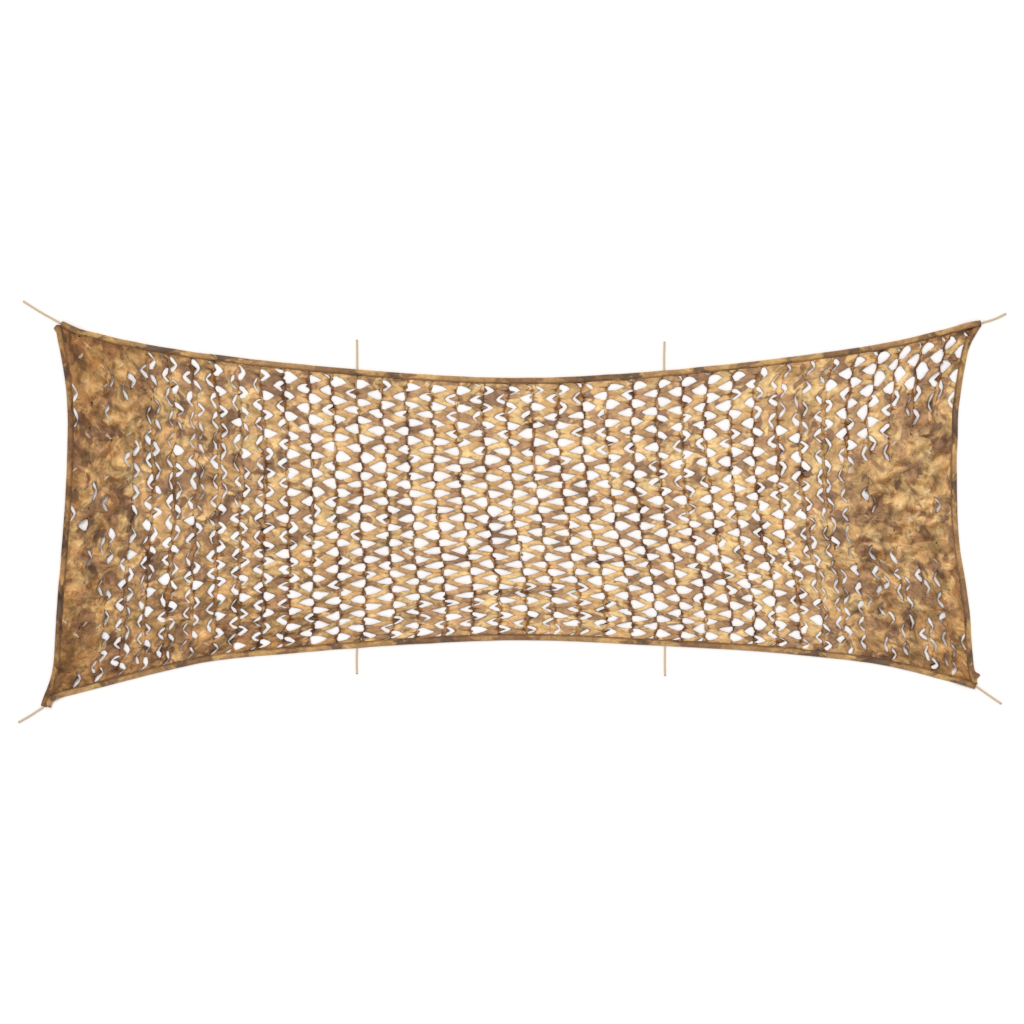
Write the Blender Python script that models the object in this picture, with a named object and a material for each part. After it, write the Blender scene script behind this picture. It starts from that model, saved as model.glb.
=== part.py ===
"""Camouflage netting: a leaf-cut cloth net, laid out face up and pulled taut at its corners.

The net lies on the ground in the XY plane with its long side along X and +Z up. It is one cut panel with a
folded binding sewn along each edge and eight tie cords. The origin is on the ground under the middle of the
panel and its bindings. Lengths are in metres, and the tables are in millimetres.
"""

import math
import random

import bmesh
import bpy
from mathutils import Vector
from mathutils.geometry import delaunay_2d_cdt, intersect_line_line_2d

MM = 0.001

# Driving sizes.
NET_LENGTH = 4.0
NET_WIDTH = 1.4
GAP = 0.3 * MM
CLOTH_THICKNESS = 2.0 * MM
BINDING_WIDTH = 26.0 * MM
BINDING_THICKNESS = 5.0 * MM
BINDING_STEP = 110.0 * MM
OVERLAP_LENGTH = 60.0 * MM
OVERLAP_RAMP = 60.0 * MM
CORD_DIAMETER = 9.0 * MM
CORD_STEP = 2.5 * CORD_DIAMETER
CORD_BEVEL_RESOLUTION = 2

# The cuts open into rows of tooth-shaped holes between upright threads of cloth. Shares are of a column's
# width or of a row's height.
COLUMN_COUNT = 19
ROW_COUNT = 8
THREAD_HALF_SHARE = 0.06
THREAD_SWAY_SHARE = 0.05
CORNER_SWAY = -0.4
HOLE_REACH_SHARE = 0.58
HOLE_HALF_HEIGHT_SHARE = 0.37
SHUT_REACH = 0.85
SHUT_HEIGHT = 0.7
SHUT_FOLD = 0.72
SHUT_RIM = 0.4
LEAST_OPENING = 0.16
OPENING_SPREAD = (0.88, 1.1)
CUT_UNEVENNESS = 0.03
LEAN = 0.014
LEAN_POWER = 1.5

# How the cloth lifts off the ground.
BEND_RISE = 9.0 * MM
CRUMPLE_RISE = 6.0 * MM
CRUMPLE_SPACING = 62.0 * MM
CRUMPLE_SPREAD = 0.3
CRUMPLE_OPENING = 0.32
EDGE_CALM = 60.0 * MM
CREST_POINTS = 4
CLEAR_OF_HOLES = 6.0 * MM
CLEAR_OF_EDGE = 25.0 * MM
SEED = 7

CLOTH_COLOUR = (0.42, 0.27, 0.13)
BINDING_COLOUR = (0.36, 0.23, 0.11)
CORD_COLOUR = (0.60, 0.45, 0.26)
CLOTH_ROUGHNESS = 0.85
CORD_ROUGHNESS = 0.75
SHARP_ANGLE = math.radians(50)

# The bindings' middle lines, clockwise round the net, so that the outer side is on the left.
# Columns: x, y, and how far the outer side flares out, in millimetres.
BINDING_ROWS = {
    "top": (
        (-1959, 828, 0),
        (-1940, 819, 0),
        (-1888, 796, 0),
        (-1792, 770, 0),
        (-1574, 723, 0),
        (-1138, 662, 0),
        (-702, 619, 0),
        (-266, 588, 0),
        (61, 579, 0),
        (388, 591, 0),
        (824, 626, 0),
        (1260, 676, 0),
        (1696, 744, 0),
        (1912, 797, 0),
        (2003, 823, 0),
        (2047, 831, 0),
    ),
    "right": (
        (2036, 823, 0),
        (2014, 786, 0),
        (1989, 740, 0),
        (1962, 627, 0),
        (1940, 475, 0),
        (1931, 278, 0),
        (1931, 60, 0),
        (1944, -158, 0),
        (1962, -262, 0),
        (1985, -428, 0),
        (1998, -603, 0),
        (2004, -659, 0),
        (2008, -691, 4),
        (2012, -710, 21),
        (2016, -726, 2),
        (2021, -745, 0),
    ),
    "bottom": (
        (2024, -750, 0),
        (1949, -727, 0),
        (1809, -689, 0),
        (1665, -654, 0),
        (1260, -602, 0),
        (606, -559, 0),
        (39, -537, 0),
        (-484, -558, 0),
        (-920, -591, 0),
        (-1356, -637, 0),
        (-1574, -687, 0),
        (-1792, -743, 0),
        (-1901, -772, 0),
        (-1980, -794, 0),
        (-2008, -812, 0),
        (-2018, -840, 0),
    ),
    "left": (
        (-2037, -839, 0),
        (-2026, -805, 0),
        (-2009, -764, 0),
        (-1992, -709, 0),
        (-1981, -646, 0),
        (-1975, -554, 0),
        (-1964, -376, 0),
        (-1946, -158, 0),
        (-1930, 60, 0),
        (-1921, 278, 0),
        (-1919, 409, 0),
        (-1931, 584, 0),
        (-1953, 714, 0),
        (-1965, 772, 0),
        (-1967, 793, 2),
        (-1968, 809, 12),
        (-1968, 823, 0),
    ),
}

# The long bindings' ends lie over the short bindings' ends.
LAPPING_BINDINGS = ("top", "bottom")

# A binding's flattened round section. Columns: share of the half width, share of the thickness.
BINDING_SECTION = ((1.0, 0.5), (0.8, 1.0), (-0.8, 1.0), (-1.0, 0.5), (-0.8, 0.0), (0.8, 0.0))

# Tie cords at the corners. Columns: name, the binding whose end it leaves, whether that is the binding's
# first end, x and y of its middle, x and y of its free end, in millimetres.
CORNER_TIES = (
    ("tie_corner_top_left", "top", True, (-2046, 877), (-2126, 927)),
    ("tie_corner_top_right", "top", False, (2101, 847), (2158, 873)),
    ("tie_corner_bottom_right", "bottom", True, (2082, -790), (2138, -828)),
    ("tie_corner_bottom_left", "left", True, (-2094, -878), (-2148, -909)),
)

# Tie cords on the long edges. Columns: name, the binding it leaves, x of the place it leaves, x and y of its
# middle, x and y of its free end, in millimetres.
EDGE_TIES = (
    ("tie_top_left", "top", -672, (-671, 696), (-672, 759)),
    ("tie_top_right", "top", 667, (667, 687), (669, 751)),
    ("tie_bottom_left", "bottom", -672, (-673, -637), (-672, -698)),
    ("tie_bottom_right", "bottom", 671, (670, -644), (671, -706)),
)

# How the net opens along its length. Columns: share of the length from the left, relative width of a column,
# and how open the holes are, 0 to 1, at the bottom edge, half way up and at the top edge.
OPENING_ROWS = (
    (0.00, 0.84, 0.00, 0.00, 0.00),
    (0.05, 0.86, 0.20, 0.05, 0.05),
    (0.10, 0.88, 0.35, 0.35, 0.25),
    (0.18, 0.90, 0.40, 0.40, 0.45),
    (0.28, 0.98, 0.65, 0.70, 0.75),
    (0.40, 1.05, 0.80, 0.95, 0.80),
    (0.50, 1.08, 0.70, 1.00, 0.75),
    (0.62, 1.06, 0.85, 0.90, 0.80),
    (0.75, 1.00, 0.80, 0.75, 0.60),
    (0.84, 0.92, 0.50, 0.45, 0.45),
    (0.90, 0.88, 0.25, 0.05, 0.70),
    (0.95, 0.86, 0.30, 0.00, 0.80),
    (1.00, 0.84, 0.10, 0.00, 0.50),
)
WIDTH_COLUMN, LOW_COLUMN, MIDDLE_COLUMN, HIGH_COLUMN = 1, 2, 3, 4

# A hole that points right, from its lower base corner round. Columns: share of its reach, share of its half
# height, share of the fold that draws the base in as the hole shuts, and height of the cloth there, in
# millimetres.
HOLE_RIM = (
    (0.00, -1.00, 0.0, 0.0),
    (0.48, -0.62, 0.0, 1.0),
    (1.00, 0.00, 0.0, 6.0),
    (0.48, 0.62, 0.0, 10.0),
    (0.00, 1.00, 0.0, 3.0),
    (0.00, 0.00, 1.0, 0.0),
)

# The main folds' crests. Columns: x and y of one end, x and y of the other, half width, height, in millimetres.
FOLD_ROWS = (
    (-1930, 787, -1800, 712, 30, 14),
    (-1870, 742, -1720, 637, 36, 12),
    (-1880, 517, -1862, 217, 46, 13),
    (-1800, 377, -1745, 57, 44, 10),
    (-1892, 27, -1860, -293, 46, 12),
    (-1790, -143, -1700, -443, 46, 11),
    (-1975, -768, -1850, -693, 30, 14),
    (-1930, -613, -1770, -523, 42, 10),
    (1965, 717, 1890, 607, 32, 10),
    (1850, 557, 1888, 307, 46, 13),
    (1770, 217, 1822, -73, 46, 13),
    (1878, 57, 1905, -243, 46, 12),
    (1975, -693, 1850, -643, 28, 14),
    (1935, -453, 1800, -563, 42, 10),
    (1730, -603, 1600, -563, 30, 10),
)


def clear_scene():
    for existing in list(bpy.data.objects):
        bpy.data.objects.remove(existing)


def make_material(name, colour, roughness):
    material = bpy.data.materials.new(name)
    material.use_nodes = True
    shader = material.node_tree.nodes["Principled BSDF"]
    shader.inputs["Base Color"].default_value = (*colour, 1.0)
    shader.inputs["Roughness"].default_value = roughness
    shader.inputs["Metallic"].default_value = 0.0
    return material


def add_object(name, data, material):
    data.materials.append(material)
    made = bpy.data.objects.new(name, data)
    bpy.context.scene.collection.objects.link(made)
    return made


def add_mesh_object(name, mesh, material):
    """Makes a smooth-shaded object of a finished bmesh."""
    bmesh.ops.recalc_face_normals(mesh, faces=mesh.faces)
    data = bpy.data.meshes.new(name)
    mesh.to_mesh(data)
    mesh.free()
    data.shade_smooth()
    data.set_sharp_from_angle(angle=SHARP_ANGLE)
    return add_object(name, data, material)


# Paths


def ease(t):
    """A smooth step from 0 to 1."""
    t = min(max(t, 0.0), 1.0)
    return t * t * (3 - 2 * t)


def smooth_path(points, step):
    """Points of a smooth curve through the given ones, at most a step apart."""
    spans = [(after - before).length for before, after in zip(points, points[1:])]
    slopes = [(after - before) / span for before, after, span in zip(points, points[1:], spans)]
    tangents = [slopes[0]]
    for i in range(len(slopes) - 1):
        blend = slopes[i] * spans[i + 1] + slopes[i + 1] * spans[i]
        tangents.append(blend / (spans[i] + spans[i + 1]))
    tangents.append(slopes[-1])
    path = []
    for i, span in enumerate(spans):
        count = max(2, math.ceil(span / step))
        for k in range(count):
            t = k / count
            at = points[i].lerp(points[i + 1], ease(t))
            start_pull = tangents[i] * (t**3 - 2 * t**2 + t) * span
            end_pull = tangents[i + 1] * (t**3 - t**2) * span
            path.append(at + start_pull + end_pull)
    path.append(points[-1].copy())
    return path


def outward_normals(path):
    """The unit normals on the left of a path in the XY plane."""
    normals = []
    for i in range(len(path)):
        ahead = path[min(i + 1, len(path) - 1)] - path[max(i - 1, 0)]
        normals.append(Vector((-ahead.y, ahead.x)).normalized())
    return normals


def beside(path, distance):
    """The path moved sideways in the XY plane, outwards for a positive distance."""
    return [point.xy + normal * distance for point, normal in zip(path, outward_normals(path))]


def ruler(path):
    """A function that gives the point at a share of the path's length."""
    reached = [0.0]
    for before, after in zip(path, path[1:]):
        reached.append(reached[-1] + (after - before).length)

    def point_at(share):
        target = share * reached[-1]
        i = 0
        while i < len(path) - 2 and reached[i + 1] < target:
            i += 1
        return path[i].lerp(path[i + 1], (target - reached[i]) / (reached[i + 1] - reached[i]))

    return point_at


def crossing(first, second):
    """Where two paths cross: the index of the segment on each, and the point."""
    for i in range(len(first) - 1):
        for j in range(len(second) - 1):
            point = intersect_line_line_2d(first[i], first[i + 1], second[j], second[j + 1])
            if point is not None:
                return i, j, point
    raise ValueError("the bindings' inner sides do not cross")


def distance_to_line(point, start, end):
    """The distance from a point to a straight line between two others."""
    run = end - start
    share = min(max((point - start).dot(run) / run.length_squared, 0.0), 1.0)
    return (point - start - run * share).length


def distance_to_loop(point, loop):
    """The distance from a point to the nearest side of a closed loop."""
    return min(distance_to_line(point, loop[i - 1], loop[i]) for i in range(len(loop)))


def table_value(rows, share, column):
    """A table's column at a share of the length, read between the rows with a smooth step."""
    for before, after in zip(rows, rows[1:]):
        if share <= after[0]:
            t = ease((share - before[0]) / (after[0] - before[0]))
            return before[column] + (after[column] - before[column]) * t
    return rows[-1][column]


# Bindings


def lap_height(from_end):
    """How high a long binding lies over a short one, at a distance from its nearer end."""
    return (BINDING_THICKNESS + GAP) * (1 - ease((from_end - OVERLAP_LENGTH) / OVERLAP_RAMP))


def binding_path(side):
    """A binding's middle line. Each point holds x, y and the flare of the outer side."""
    return smooth_path([Vector(row) * MM for row in BINDING_ROWS[side]], BINDING_STEP)


def add_binding(side, material):
    path = binding_path(side)
    mesh = bmesh.new()
    rings = []
    for point, normal in zip(path, outward_normals(path)):
        from_end = min((point.xy - path[0].xy).length, (point.xy - path[-1].xy).length)
        lift = lap_height(from_end) if side in LAPPING_BINDINGS else 0.0
        ring = []
        for across, up in BINDING_SECTION:
            flare = max(point.z, 0.0) if across > 0 else 0.0
            at = point.xy + normal * across * (BINDING_WIDTH / 2 + flare)
            ring.append(mesh.verts.new((at.x, at.y, up * BINDING_THICKNESS + lift)))
        rings.append(ring)
    for ring, following in zip(rings, rings[1:]):
        for i in range(len(ring)):
            mesh.faces.new((ring[i - 1], ring[i], following[i], following[i - 1]))
    mesh.faces.new(rings[0])
    mesh.faces.new(rings[-1])
    return add_mesh_object(f"binding_{side}", mesh, material)


# Tie cords


def add_cord(name, face_point, outward, middle, end, material):
    """A straight-lying cord that leaves a flat face of a binding, clear of it by the gap at its slanted end."""
    middle, end = Vector(middle) * MM, Vector(end) * MM
    direction = (middle - face_point).normalized()
    slant = math.sqrt(max(0.0, 1 - outward.dot(direction) ** 2))
    start = face_point + outward * (GAP + slant * CORD_DIAMETER / 2)
    route = smooth_path([point.to_3d() for point in (start, middle, end)], CORD_STEP)
    curve = bpy.data.curves.new(name, "CURVE")
    curve.dimensions = "3D"
    curve.bevel_depth = CORD_DIAMETER / 2
    curve.bevel_resolution = CORD_BEVEL_RESOLUTION
    curve.use_fill_caps = True
    spline = curve.splines.new("POLY")
    spline.points.add(len(route) - 1)
    for slot, point in zip(spline.points, route):
        slot.co = (point.x, point.y, CORD_DIAMETER / 2, 1.0)
    return add_object(name, curve, material)


def add_corner_tie(name, side, from_first_end, middle, end, material):
    path = binding_path(side)
    if from_first_end:
        path.reverse()
    outward = (path[-1].xy - path[-2].xy).normalized()
    return add_cord(name, path[-1].xy, outward, middle, end, material)


def add_edge_tie(name, side, leaves_at, middle, end, material):
    outer = beside(binding_path(side), BINDING_WIDTH / 2)
    for before, after in zip(outer, outer[1:]):
        share = (leaves_at * MM - before.x) / (after.x - before.x)
        if 0 <= share < 1:
            along = (after - before).normalized()
            outward = Vector((-along.y, along.x))
            return add_cord(name, before.lerp(after, share), outward, middle, end, material)
    raise ValueError(f"{name} leaves past the end of its binding")


# The net


class PanelShape:
    """The panel's outline inside the bindings, and how the cloth spreads between its four sides."""

    def __init__(self):
        sides = list(BINDING_ROWS)
        inner = {side: beside(binding_path(side), -(BINDING_WIDTH / 2 + GAP)) for side in sides}
        corners = [crossing(inner[side], inner[sides[i - 3]]) for i, side in enumerate(sides)]
        edges = []
        for i, side in enumerate(sides):
            _, first, start = corners[i - 1]
            last, _, end = corners[i]
            edges.append([start, *inner[side][first + 1 : last + 1], end])
        self.outline = [point for edge in edges for point in edge[:-1]][::-1]
        self.top, self.right, self.bottom, self.left = (ruler(edge) for edge in edges)

    def place(self, across, up):
        """Where a point of the cloth lies, from its shares of the length, from the left, and width, from below."""
        u = across + LEAN * math.cos(math.pi * up) * math.sin(math.pi * across**LEAN_POWER)
        from_long_edges = self.bottom(1 - u).lerp(self.top(u), up)
        from_short_edges = self.left(up).lerp(self.right(1 - up), u)
        low_corners = self.left(0).lerp(self.right(1), u)
        high_corners = self.left(1).lerp(self.right(0), u)
        return from_long_edges + from_short_edges - low_corners.lerp(high_corners, up)


def thread_shares():
    """The threads' places as shares of the net's length."""
    widths = [
        table_value(OPENING_ROWS, (column + 0.5) / COLUMN_COUNT, WIDTH_COLUMN) for column in range(COLUMN_COUNT)
    ]
    shares = [0.0]
    for width in widths:
        shares.append(shares[-1] + width / sum(widths))
    return shares


def opening_at(across, up):
    """How open the net is there, from 0 to 1."""
    low = table_value(OPENING_ROWS, across, LOW_COLUMN)
    middle = table_value(OPENING_ROWS, across, MIDDLE_COLUMN)
    high = table_value(OPENING_ROWS, across, HIGH_COLUMN)
    nearer = low if up < 0.5 else high
    return middle + (nearer - middle) * (2 * up - 1) ** 2


def fold_height(point):
    """The height of the main folds at a point."""
    height = 0.0
    for x1, y1, x2, y2, half_width, rise in FOLD_ROWS:
        off = distance_to_line(point, Vector((x1, y1)) * MM, Vector((x2, y2)) * MM) / (half_width * MM)
        height = max(height, rise * MM * max(0.0, 1 - off * off))
    return height


def hole_rim(shape, dice, left, right, centre_up, points_right, opening):
    """One hole's corners, counterclockwise, and the height of the cloth at each."""
    width = right - left
    row_height = 1 / ROW_COUNT
    reach = HOLE_REACH_SHARE * width * (SHUT_REACH + (1 - SHUT_REACH) * opening)
    half_height = HOLE_HALF_HEIGHT_SHARE * row_height * (SHUT_HEIGHT + (1 - SHUT_HEIGHT) * opening)
    fold = SHUT_FOLD * (1 - opening)
    corners = []
    for out, along, folded, rim in HOLE_RIM:
        off = THREAD_HALF_SHARE * width + (out + folded * fold) * reach
        if out == 0:
            off -= THREAD_SWAY_SHARE * width * (1 if along == 0 else CORNER_SWAY)
        off += dice.uniform(-CUT_UNEVENNESS, CUT_UNEVENNESS) * width
        up = centre_up + along * half_height
        up += dice.uniform(-CUT_UNEVENNESS, CUT_UNEVENNESS) * row_height
        across = left + off if points_right else right - off
        height = rim * MM * (SHUT_RIM + (1 - SHUT_RIM) * opening)
        corners.append((shape.place(across, up), height))
    return corners if points_right else corners[::-1]


def hole_rims(shape, dice):
    """The holes that are cut through, column by column."""
    shares = thread_shares()
    holes = []
    for left, right in zip(shares, shares[1:]):
        for half_row in range(1, 2 * ROW_COUNT):
            centre_up = half_row / (2 * ROW_COUNT)
            opening = opening_at((left + right) / 2, centre_up) * dice.uniform(*OPENING_SPREAD)
            if opening >= LEAST_OPENING:
                points_right = half_row % 2 == 1
                holes.append(hole_rim(shape, dice, left, right, centre_up, points_right, min(opening, 1.0)))
    return holes


def bend_points(shape):
    """The middles of the zigzag ribbons' bends, which stand highest."""
    shares = thread_shares()
    points = []
    for left, right in zip(shares, shares[1:]):
        for half_row in range(1, 2 * ROW_COUNT):
            up = half_row / (2 * ROW_COUNT)
            off = (right - left) * (1 - HOLE_REACH_SHARE) / 2
            across = right - off if half_row % 2 == 1 else left + off
            points.append((shape.place(across, up), BEND_RISE * opening_at(across, up)))
    return points


def crumple_points(shape, dice):
    """Points of the nearly shut cloth towards both ends, lifted unevenly, and of the main folds' crests."""
    points = []
    columns = int(NET_LENGTH / CRUMPLE_SPACING)
    rows = int(NET_WIDTH / CRUMPLE_SPACING)
    for i in range(1, columns):
        for j in range(1, rows):
            across = (i + dice.uniform(-CRUMPLE_SPREAD, CRUMPLE_SPREAD)) / columns
            up = (j + dice.uniform(-CRUMPLE_SPREAD, CRUMPLE_SPREAD)) / rows
            if opening_at(across, up) < CRUMPLE_OPENING:
                points.append((shape.place(across, up), CRUMPLE_RISE * dice.random()))
    for x1, y1, x2, y2, _, _ in FOLD_ROWS:
        for i in range(CREST_POINTS):
            crest = Vector((x1, y1)).lerp(Vector((x2, y2)), i / (CREST_POINTS - 1)) * MM
            points.append((crest, 0.0))
    return points


def free_points(shape, holes, dice):
    """The bends, crumples and crests that are clear of the holes, the edge and each other."""
    loops = [[point for point, _ in hole] for hole in holes]
    kept = []
    for point, rise in bend_points(shape) + crumple_points(shape, dice):
        if any((point - other).length < CRUMPLE_SPACING / 3 for other, _ in kept):
            continue
        if distance_to_loop(point, shape.outline) < CLEAR_OF_EDGE:
            continue
        if all(distance_to_loop(point, loop) > CLEAR_OF_HOLES for loop in loops):
            kept.append((point, rise))
    return kept


def add_net_panel(material):
    dice = random.Random(SEED)
    shape = PanelShape()
    holes = hole_rims(shape, dice)
    corners = [(point, 0.0) for point in shape.outline]
    loops = [list(range(len(corners)))]
    for hole in holes:
        loops.append(list(range(len(corners), len(corners) + len(hole))))
        corners += hole
    corners += free_points(shape, holes, dice)
    found = delaunay_2d_cdt([point for point, _ in corners], [], loops, 1, GAP / 1000)
    flat_points, _, triangles, point_origins, _, loop_origins = found

    mesh = bmesh.new()
    verts = []
    for point, origins in zip(flat_points, point_origins):
        rise = corners[origins[0]][1] + fold_height(point)
        calm = min(1.0, distance_to_loop(point, shape.outline) / EDGE_CALM)
        verts.append(mesh.verts.new((point.x, point.y, rise * calm)))
    for triangle, origins in zip(triangles, loop_origins):
        if origins == [0]:
            mesh.faces.new([verts[i] for i in triangle])
    loose = [vert for vert in mesh.verts if not vert.link_faces]
    bmesh.ops.delete(mesh, geom=loose, context="VERTS")
    grown = bmesh.ops.extrude_face_region(mesh, geom=mesh.faces[:], use_keep_orig=True)["geom"]
    upper = [part for part in grown if isinstance(part, bmesh.types.BMVert)]
    bmesh.ops.translate(mesh, verts=upper, vec=(0, 0, CLOTH_THICKNESS))
    return add_mesh_object("net_panel", mesh, material)


def main():
    clear_scene()
    cloth = make_material("net_cloth", CLOTH_COLOUR, CLOTH_ROUGHNESS)
    binding_cloth = make_material("binding_cloth", BINDING_COLOUR, CLOTH_ROUGHNESS)
    cord = make_material("tie_cord", CORD_COLOUR, CORD_ROUGHNESS)
    add_net_panel(cloth)
    for side in BINDING_ROWS:
        add_binding(side, binding_cloth)
    for row in CORNER_TIES:
        add_corner_tie(*row, cord)
    for row in EDGE_TIES:
        add_edge_tie(*row, cord)


main()
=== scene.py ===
"""Camouflage netting, laid out flat and pulled open at its corners: how it looks.

The net is one leaf-cut cloth panel. Rows of cuts open into tooth-shaped holes between upright threads of
cloth, widest at the waist and nearly shut towards both ends. A folded strip of the same cloth is stitched
round each edge, and eight sand-coloured tie cords come out of the strips. Lengths are in metres. +X runs
along the net, +Y towards its upper long edge and +Z up from the floor.
"""

import logging
import math
from dataclasses import dataclass, field
from enum import Enum
from typing import ClassVar

import bpy
import numpy as np
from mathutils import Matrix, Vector, noise
from mathutils.geometry import intersect_line_line_2d


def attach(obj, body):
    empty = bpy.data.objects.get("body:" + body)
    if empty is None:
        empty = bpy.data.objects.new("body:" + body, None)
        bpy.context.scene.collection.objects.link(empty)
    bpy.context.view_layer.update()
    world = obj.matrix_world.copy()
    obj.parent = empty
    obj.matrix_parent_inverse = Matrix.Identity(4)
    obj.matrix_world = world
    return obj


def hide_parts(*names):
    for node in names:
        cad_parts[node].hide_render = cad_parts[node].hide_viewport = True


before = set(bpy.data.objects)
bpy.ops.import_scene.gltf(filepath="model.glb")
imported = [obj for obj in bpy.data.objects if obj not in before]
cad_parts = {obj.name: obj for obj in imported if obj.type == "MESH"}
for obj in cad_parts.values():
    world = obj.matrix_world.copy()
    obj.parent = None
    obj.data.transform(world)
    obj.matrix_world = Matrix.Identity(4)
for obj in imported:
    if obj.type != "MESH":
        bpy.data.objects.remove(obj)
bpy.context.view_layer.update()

LOG = logging.getLogger("netting")
MM = 0.001
BODY = "root"

Colour = tuple[float, float, float]
Point = tuple[float, float]
Range = tuple[float, float]
Socket = bpy.types.NodeSocket
Tree = bpy.types.NodeTree

# The UV map and the masks that pieces carry and finishes read.
CLOTH_MAP = "cloth"
# The crease mask sets painted shade: in the net's creases, along its threads and cut edges, in the strips'
# folds and ends, and in the cords' grooves.
CREASE_SHADE_MASK = "crease"
# The cut-edge mask sets pale cut edges, and a painted glint where it goes above 1.
CUT_EDGE_AND_GLINT_MASK = "cut_edge"
SEAL_MASK = "sealed_end"
# The bunched mask darkens the colour: painted shade where the net is bunched, on the far sides of folds and
# by the hems, and darker round listed places and on the strips.
DARKENING_MASK = "bunched"

# The picture's frame: its width in pixels, a pixel's real width on the floor, and the spot under its middle.
PICTURE_PIXELS = 1024
PIXEL = 4.36 * MM
VIEW_CENTRE = (4.3 * MM, 8.0 * MM)

# The bindings' middle lines, clockwise round the net, so that the outer side is on the left.
# Columns: x, y, and how far the outer side flares out, in millimetres.
BINDING_ROWS = {
    "top": (
        (-1959, 828, 0), (-1940, 819, 0), (-1888, 796, 0), (-1792, 770, 0), (-1574, 723, 0),
        (-1138, 662, 0), (-702, 619, 0), (-266, 588, 0), (61, 579, 0), (388, 591, 0), (824, 626, 0),
        (1260, 676, 0), (1696, 744, 0), (1912, 797, 0), (2003, 823, 0), (2047, 831, 0),
    ),
    "right": (
        (2036, 823, 0), (2014, 786, 0), (1989, 740, 0), (1962, 627, 0), (1940, 475, 0), (1931, 278, 0),
        (1931, 60, 0), (1944, -158, 0), (1962, -262, 0), (1985, -428, 0), (1998, -603, 0),
        (2004, -659, 0), (2008, -691, 4), (2012, -710, 21), (2016, -726, 2), (2021, -745, 0),
    ),
    "bottom": (
        (2024, -750, 0), (1949, -727, 0), (1809, -689, 0), (1665, -654, 0), (1260, -602, 0),
        (606, -559, 0), (39, -537, 0), (-484, -558, 0), (-920, -591, 0), (-1356, -637, 0),
        (-1574, -687, 0), (-1792, -743, 0), (-1901, -772, 0), (-1980, -794, 0), (-2008, -812, 0),
        (-2018, -840, 0),
    ),
    "left": (
        (-2037, -839, 0), (-2026, -805, 0), (-2009, -764, 0), (-1992, -709, 0), (-1981, -646, 0),
        (-1975, -554, 0), (-1964, -376, 0), (-1946, -158, 0), (-1930, 60, 0), (-1921, 278, 0),
        (-1919, 409, 0), (-1931, 584, 0), (-1953, 714, 0), (-1965, 772, 0), (-1967, 793, 2),
        (-1968, 809, 12), (-1968, 823, 0),
    ),
}

# How open the net is. Columns: share of the length from the left, then the share of the area that is hole,
# in per cent, at six heights from the lower edge to the upper one.
OPENNESS_ROWS = (
    (0.000, 2, 0, 1, 1, 0, 2),
    (0.036, 7, 2, 3, 4, 1, 3),
    (0.060, 19, 11, 6, 1, 2, 8),
    (0.082, 14, 13, 17, 15, 7, 8),
    (0.115, 15, 22, 22, 18, 10, 17),
    (0.165, 10, 17, 13, 10, 13, 21),
    (0.205, 17, 25, 23, 15, 18, 18),
    (0.255, 24, 25, 24, 29, 25, 26),
    (0.310, 36, 28, 30, 33, 37, 35),
    (0.370, 25, 36, 31, 31, 35, 27),
    (0.425, 21, 39, 42, 38, 31, 23),
    (0.480, 20, 38, 37, 40, 31, 18),
    (0.535, 19, 33, 37, 39, 28, 23),
    (0.593, 24, 34, 35, 31, 30, 23),
    (0.650, 39, 34, 34, 25, 30, 31),
    (0.705, 34, 29, 31, 17, 21, 34),
    (0.760, 31, 27, 24, 29, 33, 25),
    (0.805, 25, 24, 22, 27, 23, 12),
    (0.840, 17, 13, 13, 19, 11, 9),
    (0.880, 11, 5, 7, 11, 28, 29),
    (0.913, 7, 6, 0, 4, 27, 35),
    (0.935, 7, 12, 0, 0, 11, 40),
    (0.958, 13, 13, 0, 1, 4, 36),
    (0.985, 5, 2, 1, 0, 4, 34),
    (1.000, 2, 0, 0, 0, 2, 30),
)
MOST_OPEN = 41.0

# The columns of cuts. Columns: share of the length from the left, relative width, and how far across its
# column a wide open hole reaches.
COLUMN_ROWS = (
    (0.00, 0.880, 0.56), (0.20, 0.990, 0.58), (0.34, 1.065, 0.66), (0.43, 1.090, 0.70), (0.54, 1.070, 0.71),
    (0.68, 1.030, 0.63), (0.80, 0.975, 0.60), (0.90, 0.930, 0.58), (1.00, 0.860, 0.56),
)

# The main folds' crests, in millimetres. Columns: x and y of one end, x and y of the other, half width and
# height.
FOLD_ROWS = (
    (-1930, 787, -1800, 712, 30, 14),
    (-1870, 742, -1720, 637, 36, 12),
    (-1880, 517, -1862, 217, 46, 13),
    (-1800, 377, -1745, 57, 44, 10),
    (-1892, 27, -1860, -293, 46, 12),
    (-1790, -143, -1700, -443, 46, 11),
    (-1975, -768, -1850, -693, 30, 14),
    (-1930, -613, -1770, -523, 42, 10),
    (1965, 717, 1890, 607, 32, 10),
    (1850, 557, 1888, 307, 46, 13),
    (1770, 217, 1822, -73, 46, 13),
    (1878, 57, 1905, -243, 46, 12),
    (1975, -693, 1850, -643, 28, 14),
    (1935, -453, 1800, -563, 42, 10),
    (1730, -603, 1600, -563, 30, 10),
)

# Places where the cloth is painted darker. Columns: x, y and reach in millimetres, and depth from 0 to 1.
BUNCH_ROWS = (
    (-1963, 800, 420, 1.10),
    (1990, 800, 300, 0.25),
    (2000, -720, 450, 0.80),
    (-2000, -800, 520, 0.90),
    (-1030, -660, 290, 0.90),
)

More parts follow.
